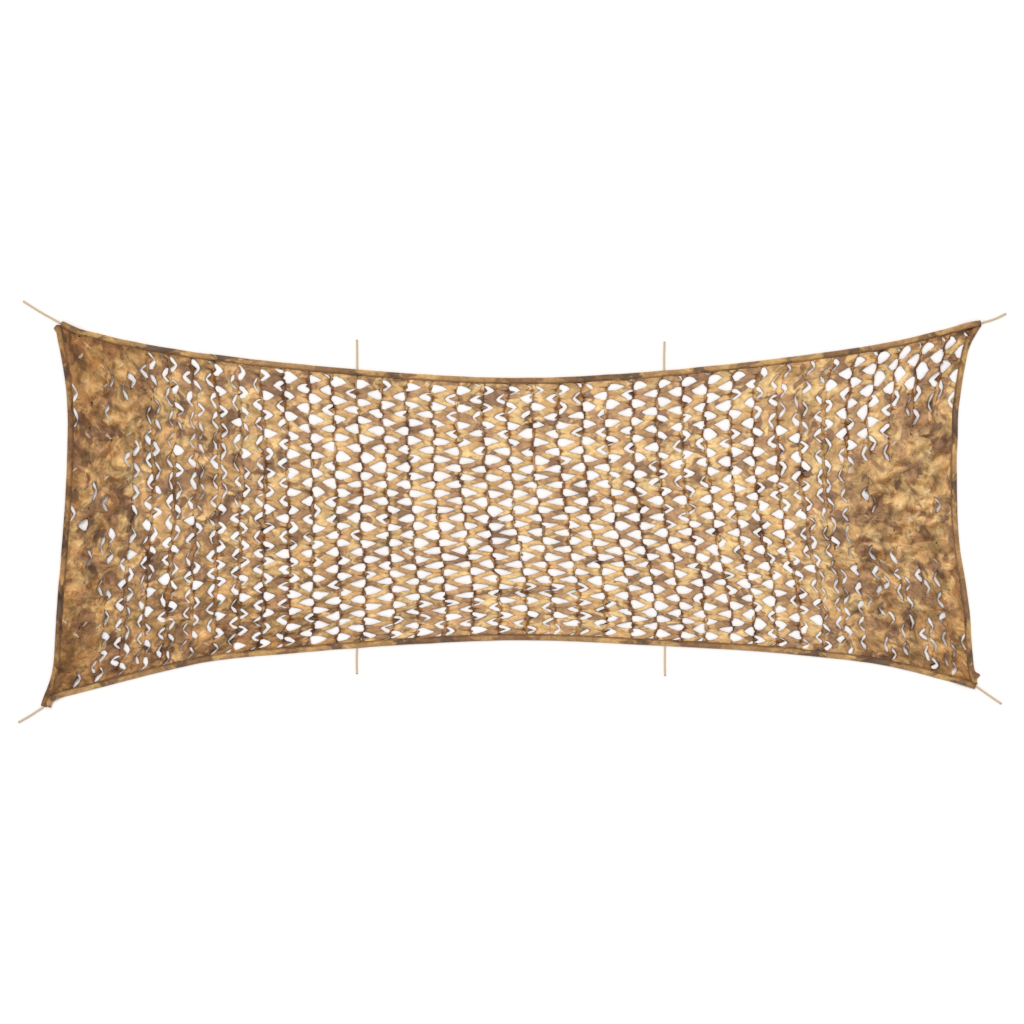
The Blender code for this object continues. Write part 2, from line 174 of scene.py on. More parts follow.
# Tie cords, in millimetres. Columns: name, then x and y where the cord leaves its binding, of its middle and
# of its free end.
TIE_ROWS = (
    ("corner_top_left", (-1963, 831), (-2046, 877), (-2126, 927)),
    ("corner_top_right", (2048, 832), (2101, 847), (2158, 873)),
    ("corner_bottom_right", (2026, -750), (2082, -790), (2138, -828)),
    ("corner_bottom_left", (-2038, -841), (-2094, -878), (-2148, -909)),
    ("top_left", (-671, 630), (-671, 696), (-672, 759)),
    ("top_right", (667, 625), (667, 687), (669, 751)),
    ("bottom_left", (-672, -585), (-673, -637), (-672, -698)),
    ("bottom_right", (671, -576), (670, -644), (671, -706)),
)


class Pointing(Enum):
    """Which way a column's hole narrows."""

    RIGHT = "right"
    LEFT = "left"


class Edge(Enum):
    """A side of the net, clockwise from the upper long one."""

    TOP = "top"
    RIGHT = "right"
    BOTTOM = "bottom"
    LEFT = "left"

    @property
    def is_long(self) -> bool:
        """Whether this is one of the two long sides, whose binding ends lie over the others'."""
        return self in (Edge.TOP, Edge.BOTTOM)


# How much darker each side's strip is painted, from 0 to 1.
STRIP_DARKENING = {Edge.TOP: 0.0, Edge.RIGHT: 0.2, Edge.BOTTOM: 0.12, Edge.LEFT: 0.65}


# Curves and small helpers


def ease(share: float) -> float:
    """A smooth step from 0 to 1."""
    share = min(max(share, 0.0), 1.0)
    return share * share * (3 - 2 * share)


def smooth_path(points: np.ndarray, step: float) -> np.ndarray:
    """Points of a smooth curve through the given ones.

    Args:
        points: The given points, one a row, with any number of columns.
        step: The most that two points of the curve are apart, in metres.

    Returns:
        The curve's points, one a row.
    """
    spans = np.linalg.norm(np.diff(points, axis=0), axis=1)[:, None]
    slopes = np.diff(points, axis=0) / spans
    inner = (slopes[:-1] * spans[1:] + slopes[1:] * spans[:-1]) / (spans[1:] + spans[:-1])
    tangents = np.vstack([slopes[:1], inner, slopes[-1:]])
    path = []
    for i, span in enumerate(spans[:, 0]):
        count = max(2, math.ceil(span / step))
        for k in range(count):
            t = k / count
            at = points[i] + (points[i + 1] - points[i]) * ease(t)
            start_pull = tangents[i] * (t**3 - 2 * t**2 + t) * span
            end_pull = tangents[i + 1] * (t**3 - t**2) * span
            path.append(at + start_pull + end_pull)
    path.append(points[-1])
    return np.array(path)


def left_normals(path: np.ndarray) -> np.ndarray:
    """The unit normals on the left of a path in the XY plane.

    Args:
        path: The path's points, one a row.

    Returns:
        One normal a row.
    """
    ahead = np.gradient(path[:, :2], axis=0)
    normals = np.stack([-ahead[:, 1], ahead[:, 0]], axis=1)
    return normals / np.linalg.norm(normals, axis=1)[:, None]


def lengths_along(path: np.ndarray) -> np.ndarray:
    """How far along a path each of its points is, in metres."""
    steps = np.linalg.norm(np.diff(path, axis=0), axis=1)
    return np.concatenate([[0.0], np.cumsum(steps)])


def on_path(path: np.ndarray, share: np.ndarray) -> np.ndarray:
    """The points at shares of a path's length.

    Args:
        path: The path's points, one a row.
        share: The shares, from 0 at its start to 1 at its end.

    Returns:
        One point a row.
    """
    reached = lengths_along(path)
    target = np.asarray(share) * reached[-1]
    return np.stack([np.interp(target, reached, path[:, i]) for i in range(path.shape[1])], axis=-1)


def crossing(first: np.ndarray, second: np.ndarray) -> tuple[int, int, np.ndarray]:
    """Where two paths cross.

    Args:
        first: One path's points.
        second: The other path's points.

    Returns:
        The index of the crossed segment on each path, and the point.
    """
    for i in range(len(first) - 1):
        for j in range(len(second) - 1):
            point = intersect_line_line_2d(first[i], first[i + 1], second[j], second[j + 1])
            if point is not None:
                return i, j, np.array(point)
    raise ValueError("two neighbouring sides of the net do not cross")


def distance_to_line(points: np.ndarray, start: np.ndarray, end: np.ndarray) -> np.ndarray:
    """The distances from points to a straight line.

    Args:
        points: The points, one a row.
        start: The line's start.
        end: The line's end.

    Returns:
        One distance for each point.
    """
    run = end - start
    share = np.clip((points - start) @ run / (run @ run), 0.0, 1.0)
    return np.linalg.norm(points - start - share[:, None] * run, axis=1)


def make_piece(
    name: str,
    vertices: np.ndarray,
    faces: list[tuple[int, ...]],
    material: bpy.types.Material,
    masks: dict[str, np.ndarray] | None = None,
    cloth: np.ndarray | None = None,
    facets: tuple[int, ...] = (),
) -> bpy.types.Object:
    """Makes a smooth-shaded object that rides on the net's body.

    Args:
        name: The piece's name.
        vertices: Its points, one a row.
        faces: Its faces, as indices of the points.
        material: Its finish.
        masks: Values from 0 to 1 at the points, by name, that the finish reads.
        cloth: Each point's place on the flat cloth, in metres, that the finish reads as a UV map.
        facets: The numbers of the faces that aren't shaded smooth.

    Returns:
        The object, linked to the scene.
    """
    mesh = bpy.data.meshes.new(name)
    mesh.from_pydata(vertices.tolist(), [], faces)
    for mask, values in (masks or {}).items():
        layer = mesh.attributes.new(mask, "FLOAT", "POINT")
        layer.data.foreach_set("value", np.asarray(values, np.float32))
    if cloth is not None:
        corners = np.zeros(len(mesh.loops), np.int32)
        mesh.loops.foreach_get("vertex_index", corners)
        layer = mesh.uv_layers.new(name=CLOTH_MAP)
        layer.uv.foreach_set("vector", cloth[corners].astype(np.float32).ravel())
    mesh.materials.append(material)
    mesh.shade_smooth()
    for number in facets:
        mesh.polygons[number].use_smooth = False
    mesh.validate()
    piece = bpy.data.objects.new(name, mesh)
    bpy.context.scene.collection.objects.link(piece)
    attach(piece, BODY)
    LOG.info("%s: %d points, %d faces", name, len(mesh.vertices), len(mesh.polygons))
    return piece


def thicken(piece: bpy.types.Object, thickness: float) -> None:
    """Gives a sheet its cloth's thickness, half to each side.

    Args:
        piece: The sheet.
        thickness: The cloth's thickness, in metres.
    """
    solidify = piece.modifiers.new("thickness", "SOLIDIFY")
    solidify.thickness = thickness
    solidify.offset = 0.0


# Finishes

FLOAT, COLOUR, VECTOR = "NodeSocketFloat", "NodeSocketColor", "NodeSocketVector"
SHEEN_ROUGHNESS = 0.5
SPECULAR_LEVEL = 0.25

# The range that most of a Noise texture's values fall in, and the narrower one round its middle.
USUAL_NOISE = (0.3, 0.7)
MIDDLE_NOISE = (0.35, 0.65)


def add_node(
    tree: Tree, kind: str, settings: dict[str, object] | None = None, **inputs: float | tuple | Socket
) -> bpy.types.Node:
    """Adds a node to a tree and fills its sockets.

    Args:
        tree: The tree it goes in.
        kind: The node's type.
        settings: Its own settings, by name.
        **inputs: A value or another node's output for each socket, named with _ for a space, or by in0, in1
            and so on for a socket's number.

    Returns:
        The node.
    """
    node = tree.nodes.new(kind)
    for name, value in (settings or {}).items():
        setattr(node, name, value)
    for name, value in inputs.items():
        key = int(name[2:]) if name[:2] == "in" and name[2:].isdigit() else name.replace("_", " ")
        if isinstance(value, Socket):
            tree.links.new(value, node.inputs[key])
        else:
            node.inputs[key].default_value = value
    return node


def calculate(tree: Tree, operation: str, *values: float | Socket) -> Socket:
    """A Math node's result for the given values."""
    filled = {f"in{i}": value for i, value in enumerate(values)}
    return add_node(tree, "ShaderNodeMath", {"operation": operation}, **filled).outputs[0]


def mix_colours(
    tree: Tree, share: float | Socket, first: tuple | Socket, second: tuple | Socket, blend: str = "MIX"
) -> Socket:
    """A Mix node's colour: the first where share is 0, the second, blended in, where it is 1."""
    settings = {"data_type": "RGBA", "blend_type": blend}
    return add_node(tree, "ShaderNodeMix", settings, in0=share, in6=first, in7=second).outputs[2]


def between(tree: Tree, value: Socket, given: Range, becomes: Range = (0.0, 1.0)) -> Socket:
    """A value mapped from one range to another, and held at its ends beyond."""
    inputs = {"in1": given[0], "in2": given[1], "in3": becomes[0], "in4": becomes[1]}
    return add_node(tree, "ShaderNodeMapRange", {"clamp": True}, Value=value, **inputs).outputs[0]


def cloud(tree: Tree, place: Socket, scale: float | Socket, flat: bool = True, **inputs: float) -> Socket:
    """A Noise texture's value, over the flat cloth or, where flat is false, in the piece's own space."""
    settings = {"noise_dimensions": "2D" if flat else "3D"}
    return add_node(tree, "ShaderNodeTexNoise", settings, Vector=place, Scale=scale, **inputs).outputs[0]


def mask_value(tree: Tree, name: str) -> Socket:
    """The value of one of the piece's masks."""
    return add_node(tree, "ShaderNodeAttribute", {"attribute_name": name}).outputs["Fac"]


def grey(tree: Tree, value: Socket) -> Socket:
    """A value as a grey, to multiply a colour by."""
    return add_node(tree, "ShaderNodeCombineXYZ", in0=value, in1=value, in2=value).outputs[0]


def bump(tree: Tree, height: Socket, depth: float, **inputs: float | Socket) -> Socket:
    """The normal that a Bump node makes of a height and its depth in metres."""
    return add_node(tree, "ShaderNodeBump", Height=height, Distance=depth, **inputs).outputs[0]


def opaque(colour: Colour) -> tuple[float, ...]:
    """A colour with the fourth value that a socket takes."""
    return (*colour, 1.0)


def new_group(
    name: str, inputs: dict[str, str], outputs: dict[str, str]
) -> tuple[Tree, dict[str, Socket], bpy.types.Node]:
    """An empty shader node group.

    Args:
        name: The group's name.
        inputs: Each input's name and kind of socket.
        outputs: Each output's name and kind of socket.

    Returns:
        The group, its inputs' sockets by name, and its output node.
    """
    group = bpy.data.node_groups.new(name, "ShaderNodeTree")
    for way, sockets in (("INPUT", inputs), ("OUTPUT", outputs)):
        for socket, kind in sockets.items():
            group.interface.new_socket(name=socket, in_out=way, socket_type=kind)
    given = group.nodes.new("NodeGroupInput").outputs
    return group, {socket: given[socket] for socket in inputs}, group.nodes.new("NodeGroupOutput")


@dataclass(frozen=True)
class PrintColours:
    """The four dyes of the camouflage print."""

    tan: Colour = (0.65, 0.40, 0.176)
    sand: Colour = (0.785, 0.54, 0.25)
    brown: Colour = (0.465, 0.272, 0.138)
    umber: Colour = (0.315, 0.18, 0.10)


@dataclass(frozen=True)
class Blotches:
    """The print's sand, brown and umber blotches: where each one's noise is cut, and its offset."""

    cuts: tuple[float, float, float] = (0.525, 0.545, 0.605)
    offsets: tuple[Point, Point, Point] = ((3.1, 7.7), (11.3, 2.9), (23.9, 17.3))
    softness: float = 0.03
    detail: float = 3.5
    roughness: float = 0.58
    wobble: float = 0.35

    def group(self) -> Tree:
        """Builds the camouflage print: three layers of blotches over a ground colour.

        Returns:
            The group, with Place, Blotches and the four colours as inputs and Colour as its output.
        """
        inputs = {"Place": VECTOR, "Blotches": FLOAT}
        inputs |= dict.fromkeys(("Tan", "Sand", "Brown", "Umber"), COLOUR)
        group, given, out = new_group("camouflage_print", inputs, {"Colour": COLOUR})
        colour = given["Tan"]
        texture = {"Detail": self.detail, "Roughness": self.roughness, "Distortion": self.wobble}
        for dye, cut, offset in zip(("Sand", "Brown", "Umber"), self.cuts, self.offsets):
            adding = {"operation": "ADD"}
            moved = add_node(group, "ShaderNodeVectorMath", adding, in0=given["Place"], in1=(*offset, 0.0))
            blotches = cloud(group, moved.outputs[0], given["Blotches"], **texture)
            mask = between(group, blotches, (cut - self.softness, cut + self.softness))
            colour = mix_colours(group, mask, colour, given[dye])
        group.links.new(colour, out.inputs["Colour"])
        return group


def weave_group() -> Tree:
    """Builds a plain weave.

    Returns:
        The group, with Place and Threads, a metre, as inputs and Height, from 0 to 1, as its output.
    """
    group, given, out = new_group("plain_weave", {"Place": VECTOR, "Threads": FLOAT}, {"Height": FLOAT})
    parts = add_node(group, "ShaderNodeSeparateXYZ", in0=given["Place"]).outputs
    turns = calculate(group, "MULTIPLY", given["Threads"], math.pi)
    waves = [calculate(group, "SINE", calculate(group, "MULTIPLY", parts[i], turns)) for i in (0, 1)]
    height = calculate(group, "MULTIPLY_ADD", calculate(group, "MULTIPLY", *waves), 0.5, 0.5)
    group.links.new(height, out.inputs["Height"])
    return group


@dataclass(frozen=True)
class ClothWearAndShade:
    """Worn cloth with painted shade: soft fading, painted shade where it is bunched and in creases, and pale
    cut edges with painted glints.
    """

    patches: float = 9.0
    patch_tones: Range = (0.86, 1.13)
    patch_roughness: Range = (0.92, 0.78)
    mottle: float = 55.0
    mottle_tones: Range = (0.87, 1.14)
    detail: float = 3.0
    # Where the creases' painted shade starts and is full, and how the cut-edge mask maps to pale edge and
    # painted glint.
    sharp_crease: Range = (0.5, 1.0)
    frayed_cut: Range = (0.75, 1.5)
    fray_share: Range = (0.0, 0.6)

    def group(self) -> Tree:
        """Builds the effect.

        Returns:
            The group, with Colour, Place, Crease, Cut Edge, Bunched and a colour for each of the last three
            as inputs, and Colour and Roughness as outputs.
        """
        inputs = {"Colour": COLOUR, "Place": VECTOR, "Crease": FLOAT, "Cut Edge": FLOAT, "Bunched": FLOAT}
        inputs |= {"Shade": COLOUR, "Fray": COLOUR, "Depth": COLOUR}
        group, given, out = new_group("cloth_wear_and_shade", inputs, {"Colour": COLOUR, "Roughness": FLOAT})
        patches = cloud(group, given["Place"], self.patches, Detail=self.detail)
        mottle = cloud(group, given["Place"], self.mottle, Detail=self.detail)
        patch_tone = between(group, patches, USUAL_NOISE, self.patch_tones)
        mottle_tone = between(group, mottle, USUAL_NOISE, self.mottle_tones)
        fade = calculate(group, "MULTIPLY", patch_tone, mottle_tone)
        faded = mix_colours(group, 1.0, given["Colour"], grey(group, fade), "MULTIPLY")
        # Painted shade of bunched cloth.
        bunched = mix_colours(group, given["Bunched"], faded, given["Depth"], "MULTIPLY")
        # Painted shade in creases.
        sharp = between(group, given["Crease"], self.sharp_crease)
        shaded = mix_colours(group, sharp, bunched, given["Shade"], "MULTIPLY")
        # Pale cut edges, and painted glints where the mask goes above 1.
        cut = between(group, given["Cut Edge"], self.frayed_cut, self.fray_share)
        group.links.new(mix_colours(group, cut, shaded, given["Fray"]), out.inputs["Colour"])
        matt = between(group, patches, USUAL_NOISE, self.patch_roughness)
        group.links.new(matt, out.inputs["Roughness"])
        return group


@dataclass(frozen=True)
class SoftWrinkles:
    """Soft swirling wrinkles, deep where the cloth is bunched, with their light and shade painted into the
    colour.
    """

    detail: float = 4.0
    roughness: float = 0.66
    swirl: float = 0.45
    bunched: Range = (0.0, 0.5)
    depths: Range = (0.2, 1.0)
    # How far the wrinkles' painted light and shade lightens and darkens the colour.
    tones: Range = (0.54, 1.40)

    def group(self) -> Tree:
        """Builds the effect.

        Returns:
            The group, with Place, Wrinkles, a metre, and Bunched as inputs, and Height, from 0 to 1, and
            Painted Shading, the wrinkles' painted light and shade as a grey to multiply the colour by, as
            outputs.
        """
        inputs = {"Place": VECTOR, "Wrinkles": FLOAT, "Bunched": FLOAT}
        group, given, out = new_group("cloth_wrinkles", inputs, {"Height": FLOAT, "Tone": COLOUR})
        texture = {"Detail": self.detail, "Roughness": self.roughness, "Distortion": self.swirl}
        swirls = cloud(group, given["Place"], given["Wrinkles"], **texture)
        depth = between(group, given["Bunched"], self.bunched, self.depths)
        height = calculate(group, "MULTIPLY", between(group, swirls, USUAL_NOISE), depth)
        group.links.new(height, out.inputs["Height"])
        # Painted light and shade of the wrinkles.
        tone = grey(group, between(group, swirls, MIDDLE_NOISE, self.tones))
        group.links.new(mix_colours(group, depth, opaque((1.0, 1.0, 1.0)), tone), out.inputs["Tone"])
        return group


class SharedEffects:
    """The node groups that more than one finish uses, built once."""

    def __init__(self) -> None:
        """Builds the print, weave, wear and painted shade, and wrinkle and painted shading groups."""
        self.camouflage = Blotches().group()
        self.weave = weave_group()
        # The wear group also paints shade in creases and bunched cloth, and glints on cut edges.
        self.wear = ClothWearAndShade().group()
        self.wrinkles = SoftWrinkles().group()

    @staticmethod
    def place(tree: Tree, group: Tree, **inputs: float | tuple | Socket) -> bpy.types.Node:
        """Puts one of the groups in a material's tree, with its own values."""
        return add_node(tree, "ShaderNodeGroup", {"node_tree": group}, **inputs)


def principled(name: str, roughness: float, sheen: float) -> tuple[bpy.types.Material, Tree, bpy.types.Node]:
    """A new material with its tree and shader.

    Args:
        name: The material's name.
        roughness: How matt it is, where nothing is linked.
        sheen: How strong the soft glow of its fibres is.

    Returns:
        The material, its node tree and its Principled shader.
    """
    material = bpy.data.materials.new(name)
    material.use_nodes = True
    shader = material.node_tree.nodes["Principled BSDF"]
    shader.inputs["Roughness"].default_value = roughness
    shader.inputs["Sheen Weight"].default_value = sheen
    shader.inputs["Sheen Roughness"].default_value = SHEEN_ROUGHNESS
    shader.inputs["Specular IOR Level"].default_value = SPECULAR_LEVEL
    return material, material.node_tree, shader


@dataclass(frozen=True)
class PrintedCloth:
    """Thin matt cloth with the camouflage print."""

    name: str
    blotches: float
    offset: Point
    stretch: Point = (1.0, 1.0)
    colours: PrintColours = PrintColours()
    # crease_shade is the painted shade in creases, fray the pale cut edge and its painted glint, and depth
    # the colour that the darkening mask multiplies in, painted shade on bunched net.
    crease_shade: Colour = (0.32, 0.19, 0.10)
    fray: Colour = (0.80, 0.66, 0.50)
    depth: Colour = (0.48, 0.36, 0.25)
    threads: float = 700.0
    weave_depth: float = 0.15 * MM
    weave_strength: float = 0.5
    wrinkle_depth: float = 8 * MM
    wrinkles: float = 12.0
    roughness: float = 0.85
    sheen: float = 0.15

    def material(self, effects: SharedEffects) -> bpy.types.Material:
        """Makes the finish.

        Args:
            effects: The shared node groups.

        Returns:
            The material.
        """
        material, tree, shader = principled(self.name, self.roughness, self.sheen)
        on_cloth = add_node(tree, "ShaderNodeUVMap", {"uv_map": CLOTH_MAP}).outputs[0]
        layout = {"Location": (*self.offset, 0.0), "Scale": (*self.stretch, 1.0)}
        printed_at = add_node(tree, "ShaderNodeMapping", Vector=on_cloth, **layout).outputs[0]
        dyes = {name.capitalize(): opaque(colour) for name, colour in vars(self.colours).items()}
        printed = effects.place(tree, effects.camouflage, Place=printed_at, Blotches=self.blotches, **dyes)
        bunched = mask_value(tree, DARKENING_MASK)
        swirling = {"Place": on_cloth, "Wrinkles": self.wrinkles, "Bunched": bunched}
        wrinkled = effects.place(tree, effects.wrinkles, **swirling)
        # Multiplies in the wrinkles' painted light and shade.
        wrinkle_shaded = mix_colours(tree, 1.0, printed.outputs[0], wrinkled.outputs["Tone"], "MULTIPLY")
        # Fading, painted shade in creases and bunched cloth, and pale cut edges with painted glints.
        worn = effects.place(
            tree,
            effects.wear,
            Colour=wrinkle_shaded,
            Place=on_cloth,
            Crease=mask_value(tree, CREASE_SHADE_MASK),
            Cut_Edge=mask_value(tree, CUT_EDGE_AND_GLINT_MASK),
            Bunched=bunched,
            Depth=opaque(self.depth),
            Shade=opaque(self.crease_shade),
            Fray=opaque(self.fray),
        )
        tree.links.new(worn.outputs["Colour"], shader.inputs["Base Color"])
        tree.links.new(worn.outputs["Roughness"], shader.inputs["Roughness"])
        soft = bump(tree, wrinkled.outputs["Height"], self.wrinkle_depth)
        woven = effects.place(tree, effects.weave, Place=on_cloth, Threads=self.threads).outputs["Height"]
        normal = bump(tree, woven, self.weave_depth, Strength=self.weave_strength, Normal=soft)
        tree.links.new(normal, shader.inputs["Normal"])
        return material


@dataclass(frozen=True)
class BraidedCord:
    """Sand-coloured braided cord whose cut end is melted shut."""

    name: str = "braided_tie_cord"
    light: Colour = (0.63, 0.50, 0.345)
    # dark is the painted shade in the braid's grooves.
    dark: Colour = (0.47, 0.365, 0.24)
    melted: Colour = (0.30, 0.19, 0.10)
    flecks: float = 420.0
    fleck_tones: Range = (-0.2, 0.2)
    fleck_depth: float = 0.2 * MM
    roughness: float = 0.6
    sheen: float = 0.2

    def material(self) -> bpy.types.Material:
        """Makes the finish.

        Returns:
            The material: pale strands, painted shade in the grooves between them, and a browned end.
        """
        material, tree, shader = principled(self.name, self.roughness, self.sheen)
        place = add_node(tree, "ShaderNodeTexCoord").outputs["Object"]
        flecks = cloud(tree, place, self.flecks, flat=False)
        uneven = between(tree, flecks, MIDDLE_NOISE, self.fleck_tones)
        # Painted shade in the braid's grooves, from the crease mask.
        sunk = calculate(tree, "ADD", mask_value(tree, CREASE_SHADE_MASK), uneven)
        strands = mix_colours(tree, sunk, opaque(self.light), opaque(self.dark))
        colour = mix_colours(tree, mask_value(tree, SEAL_MASK), strands, opaque(self.melted))
        tree.links.new(colour, shader.inputs["Base Color"])
        tree.links.new(bump(tree, flecks, self.fleck_depth), shader.inputs["Normal"])
        return material


@dataclass(frozen=True)
class SewingThread:
    """Matt tan polyester thread, a little uneven along the seam."""

    name: str = "sewing_thread"
    colour: Colour = (0.42, 0.29, 0.16)
    pale: Colour = (0.55, 0.40, 0.23)
    tones: float = 60.0
    roughness: float = 0.7
    sheen: float = 0.1

    def material(self) -> bpy.types.Material:
        """Makes the finish.

        Returns:
            The material.
        """
        material, tree, shader = principled(self.name, self.roughness, self.sheen)
        place = add_node(tree, "ShaderNodeTexCoord").outputs["Object"]
        tone = cloud(tree, place, self.tones, flat=False)
        colour = mix_colours(tree, tone, opaque(self.colour), opaque(self.pale))
        tree.links.new(colour, shader.inputs["Base Color"])
        return material


# The bindings


@dataclass
class Binding:
    """A strip of cloth folded round one edge of the net and stitched along its inner side."""

    edge: Edge
    width: float = 26 * MM
    crown: float = 7.5 * MM
    flat_crown: float = 5.2 * MM
    underside: float = 1.1 * MM
    cloth_thickness: float = 0.9 * MM
    step: float = 11 * MM
    coarse_step: float = 40 * MM
    lap_length: float = 60 * MM
    lap_ramp: float = 60 * MM
    lap_lift: float = 5.6 * MM
    flares_beyond: float = 0.5
    stitch_inset: float = 3.4 * MM
    stitch_length: float = 4.5 * MM
    stitch_gap: float = 3.0 * MM
    stitch_width: float = 1.1 * MM
    seam_height: float = 0.48
    thread_sides: int = 6
    pucker: float = 0.7 * MM
    puckers: float = 38.0
    pucker_shift: float = 0.7
    wander: float = 1.6 * MM
    wanders: float = 9.0
    # How much darker the strip is painted, all along and near its ends.
    worn: float = 0.0
    end_wear: float = 0.7
    end_wear_reach: float = 70 * MM
    seed: float = 0.0
    flat_size: Point = (0.0, 0.0)

    # The strip's section, from the inner edge underneath, round the outer fold and back over the top.
    # Columns: share of the half width towards the outside, share of the crown's height, how much it puckers,
    # how deep the painted shade of a crease is there.
    section: ClassVar[tuple[tuple[float, ...], ...]] = (
        (-1.00, 0.02, 0.0, 0.0),
        (-0.45, 0.00, 0.0, 0.0),
        (0.20, 0.00, 0.0, 0.0),
        (0.75, 0.02, 0.0, 0.5),
        (0.95, 0.16, 0.2, 0.5),
        (1.00, 0.42, 0.4, 0.3),
        (0.93, 0.70, 0.6, 0.0),
        (0.74, 0.90, 0.8, 0.0),
        (0.42, 1.00, 1.0, 0.0),
        (0.02, 0.96, 1.0, 0.1),
        (-0.36, 0.82, 0.8, 0.5),
        (-0.60, 0.54, 0.3, 0.9),
        (-0.72, 0.46, 0.2, 1.0),
        (-0.86, 0.50, 0.6, 0.9),
        (-1.00, 0.46, 1.0, 1.0),
    )

    # A stitch's arch from one needle hole to the next. Columns: share of its length, then its height and its
    # thickness in radii.
    arch: ClassVar[tuple[tuple[float, ...], ...]] = (
        (0.0, -0.6, 0.7),
        (0.2, 0.3, 1.0),
        (0.5, 0.6, 1.1),
        (0.8, 0.3, 1.0),
        (1.0, -0.6, 0.7),
    )

    def middle_line(self, step: float) -> np.ndarray:
        """The strip's middle line: x, y and the flare of its outer side, one point a row."""
        return smooth_path(np.array(BINDING_ROWS[self.edge.value], float) * MM, step)

    @staticmethod
    def from_ends(along: np.ndarray) -> np.ndarray:
        """How far points of the strip are from its nearer end, for how far along it they are."""
        return np.minimum(along, along[-1] - along)

    def past_lap(self, from_end: np.ndarray) -> np.ndarray:
        """How far past the lap points of the strip are, from 0 on it to 1, at distances from the end."""
        return np.array([ease((distance - self.lap_length) / self.lap_ramp) for distance in from_end])

    def inner_line(self, tuck: float) -> np.ndarray:
        """The line on which the net's edge lies: inside the strip, but for its ends, where it comes out.

        Args:
            tuck: How far the net's edge goes into the strip.

        Returns:
            The line's points, one a row.
        """
        path = self.middle_line(self.coarse_step)
        tucked = tuck * self.past_lap(self.from_ends(lengths_along(path[:, :2])))
        return path[:, :2] - left_normals(path) * (self.width / 2 - tucked)[:, None]

    def lift_at(self, from_end: np.ndarray) -> np.ndarray:
        """How high the strip lies over its neighbours' ends.

        Args:
            from_end: How far points of the strip are from its nearer end.

        Returns:
            A height for each point.
        """
        if not self.edge.is_long:
            return np.zeros(len(from_end))
        return self.lap_lift * (1 - self.past_lap(from_end))

    def flatness_at(self, from_end: np.ndarray) -> np.ndarray:
        """The height of the strip's crown, which is pressed flatter near its ends."""
        shares = np.array([ease(distance / (self.lap_length + self.lap_ramp)) for distance in from_end])
        return self.flat_crown + (self.crown - self.flat_crown) * shares

    def build(self, cloth: bpy.types.Material) -> bpy.types.Object:
        """Makes the folded strip.

        Args:
            cloth: The strip's finish.

        Returns:
            The strip, which stands for its CAD solid.
        """
        path = self.middle_line(self.step)
        normals = left_normals(path)
        along = lengths_along(path[:, :2])
        from_end = self.from_ends(along)
        lift, crown = self.lift_at(from_end), self.flatness_at(from_end)
        # How much darker the strip is painted, more so near its ends.
        wear = np.minimum(self.worn + self.end_wear * np.exp(-from_end / self.end_wear_reach), 1.0)
        wander = [noise.noise(Vector((d * self.wanders, self.seed, 4.0))) * self.wander for d in along]
        vertices, flat, crease = [], [], []
        unrolled = 0.0
        for j, (across, up, puckers, shade) in enumerate(self.section):
            if j:
                before = self.section[j - 1]
                unrolled += math.hypot((across - before[0]) * self.width / 2, (up - before[1]) * self.crown)
            for i in range(len(path)):
                flare = max(path[i, 2], 0.0) if across > self.flares_beyond else 0.0
                ripple = noise.noise(Vector((along[i] * self.puckers, j * self.pucker_shift, self.seed)))
                side = across * (self.width / 2 + flare) + wander[i]
                height = self.underside + up * crown[i] + lift[i] + puckers * self.pucker * ripple
                vertices.append((*(path[i, :2] + normals[i] * side), height))
                flat.append((along[i], unrolled))
                # Painted shade in the strip's creases and along its cut ends.
                crease.append(max(shade, 1 - from_end[i] / self.step))
        count = len(path)
        faces = [
            (j * count + i, (j + 1) * count + i, (j + 1) * count + i + 1, j * count + i + 1)
            for j in range(len(self.section) - 1)
            for i in range(count - 1)
        ]
        masks = {CREASE_SHADE_MASK: np.array(crease), DARKENING_MASK: np.tile(wear, len(self.section))}
        name = f"binding_{self.edge.value}_cloth"
        strip = make_piece(name, np.array(vertices), faces, cloth, masks, np.array(flat))
        thicken(strip, self.cloth_thickness)
        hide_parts(f"binding_{self.edge.value}")
        self.flat_size = (round(unrolled, 4), round(float(along[-1]), 4))
        return strip

    def stitch(self, thread: bpy.types.Material) -> bpy.types.Object:
        """Makes the row of stitches along the strip's inner side.

        Args:
            thread: The stitches' finish.

        Returns:
            The stitches, joined in one piece.
        """
        path = self.middle_line(self.step)
        along = lengths_along(path[:, :2])
        line = path[:, :2] - left_normals(path) * (self.width / 2 - self.stitch_inset)
        lift = self.lift_at(self.from_ends(along))
        pitch = self.stitch_length + self.stitch_gap
        seam = self.underside + self.seam_height * self.crown
        radius, sides = self.stitch_width / 2, self.thread_sides
        ring = [(math.cos(turn), math.sin(turn)) for turn in np.arange(sides) * math.tau / sides]
        vertices, faces = [], []
        for k in range(int((along[-1] - 2 * pitch) / pitch)):
            start = pitch * (k + 1)
            at = np.array([start, start + self.stitch_length])
            ends = np.stack([np.interp(at, along, line[:, i]) for i in (0, 1)], axis=1)
            seat = seam + float(np.interp(start, along, lift)) + self.cloth_thickness / 2
            run = ends[1] - ends[0]
            side = np.array([-run[1], run[0]]) / np.linalg.norm(run)
            first = len(vertices)
            for share, rise, girth in self.arch:
                middle = ends[0] + run * share
                for across, up in ring:
                    x, y = middle + side * across * radius * girth
                    vertices.append((x, y, seat + radius * (rise + up * girth)))
            last = first + (len(self.arch) - 1) * sides
            for a in range(first, last, sides):
                for i in range(sides):
                    j = (i + 1) % sides
                    faces.append((a + i, a + i + sides, a + j + sides, a + j))
            faces.append(tuple(first + i for i in range(sides)))
            faces.append(tuple(last + i for i in reversed(range(sides))))
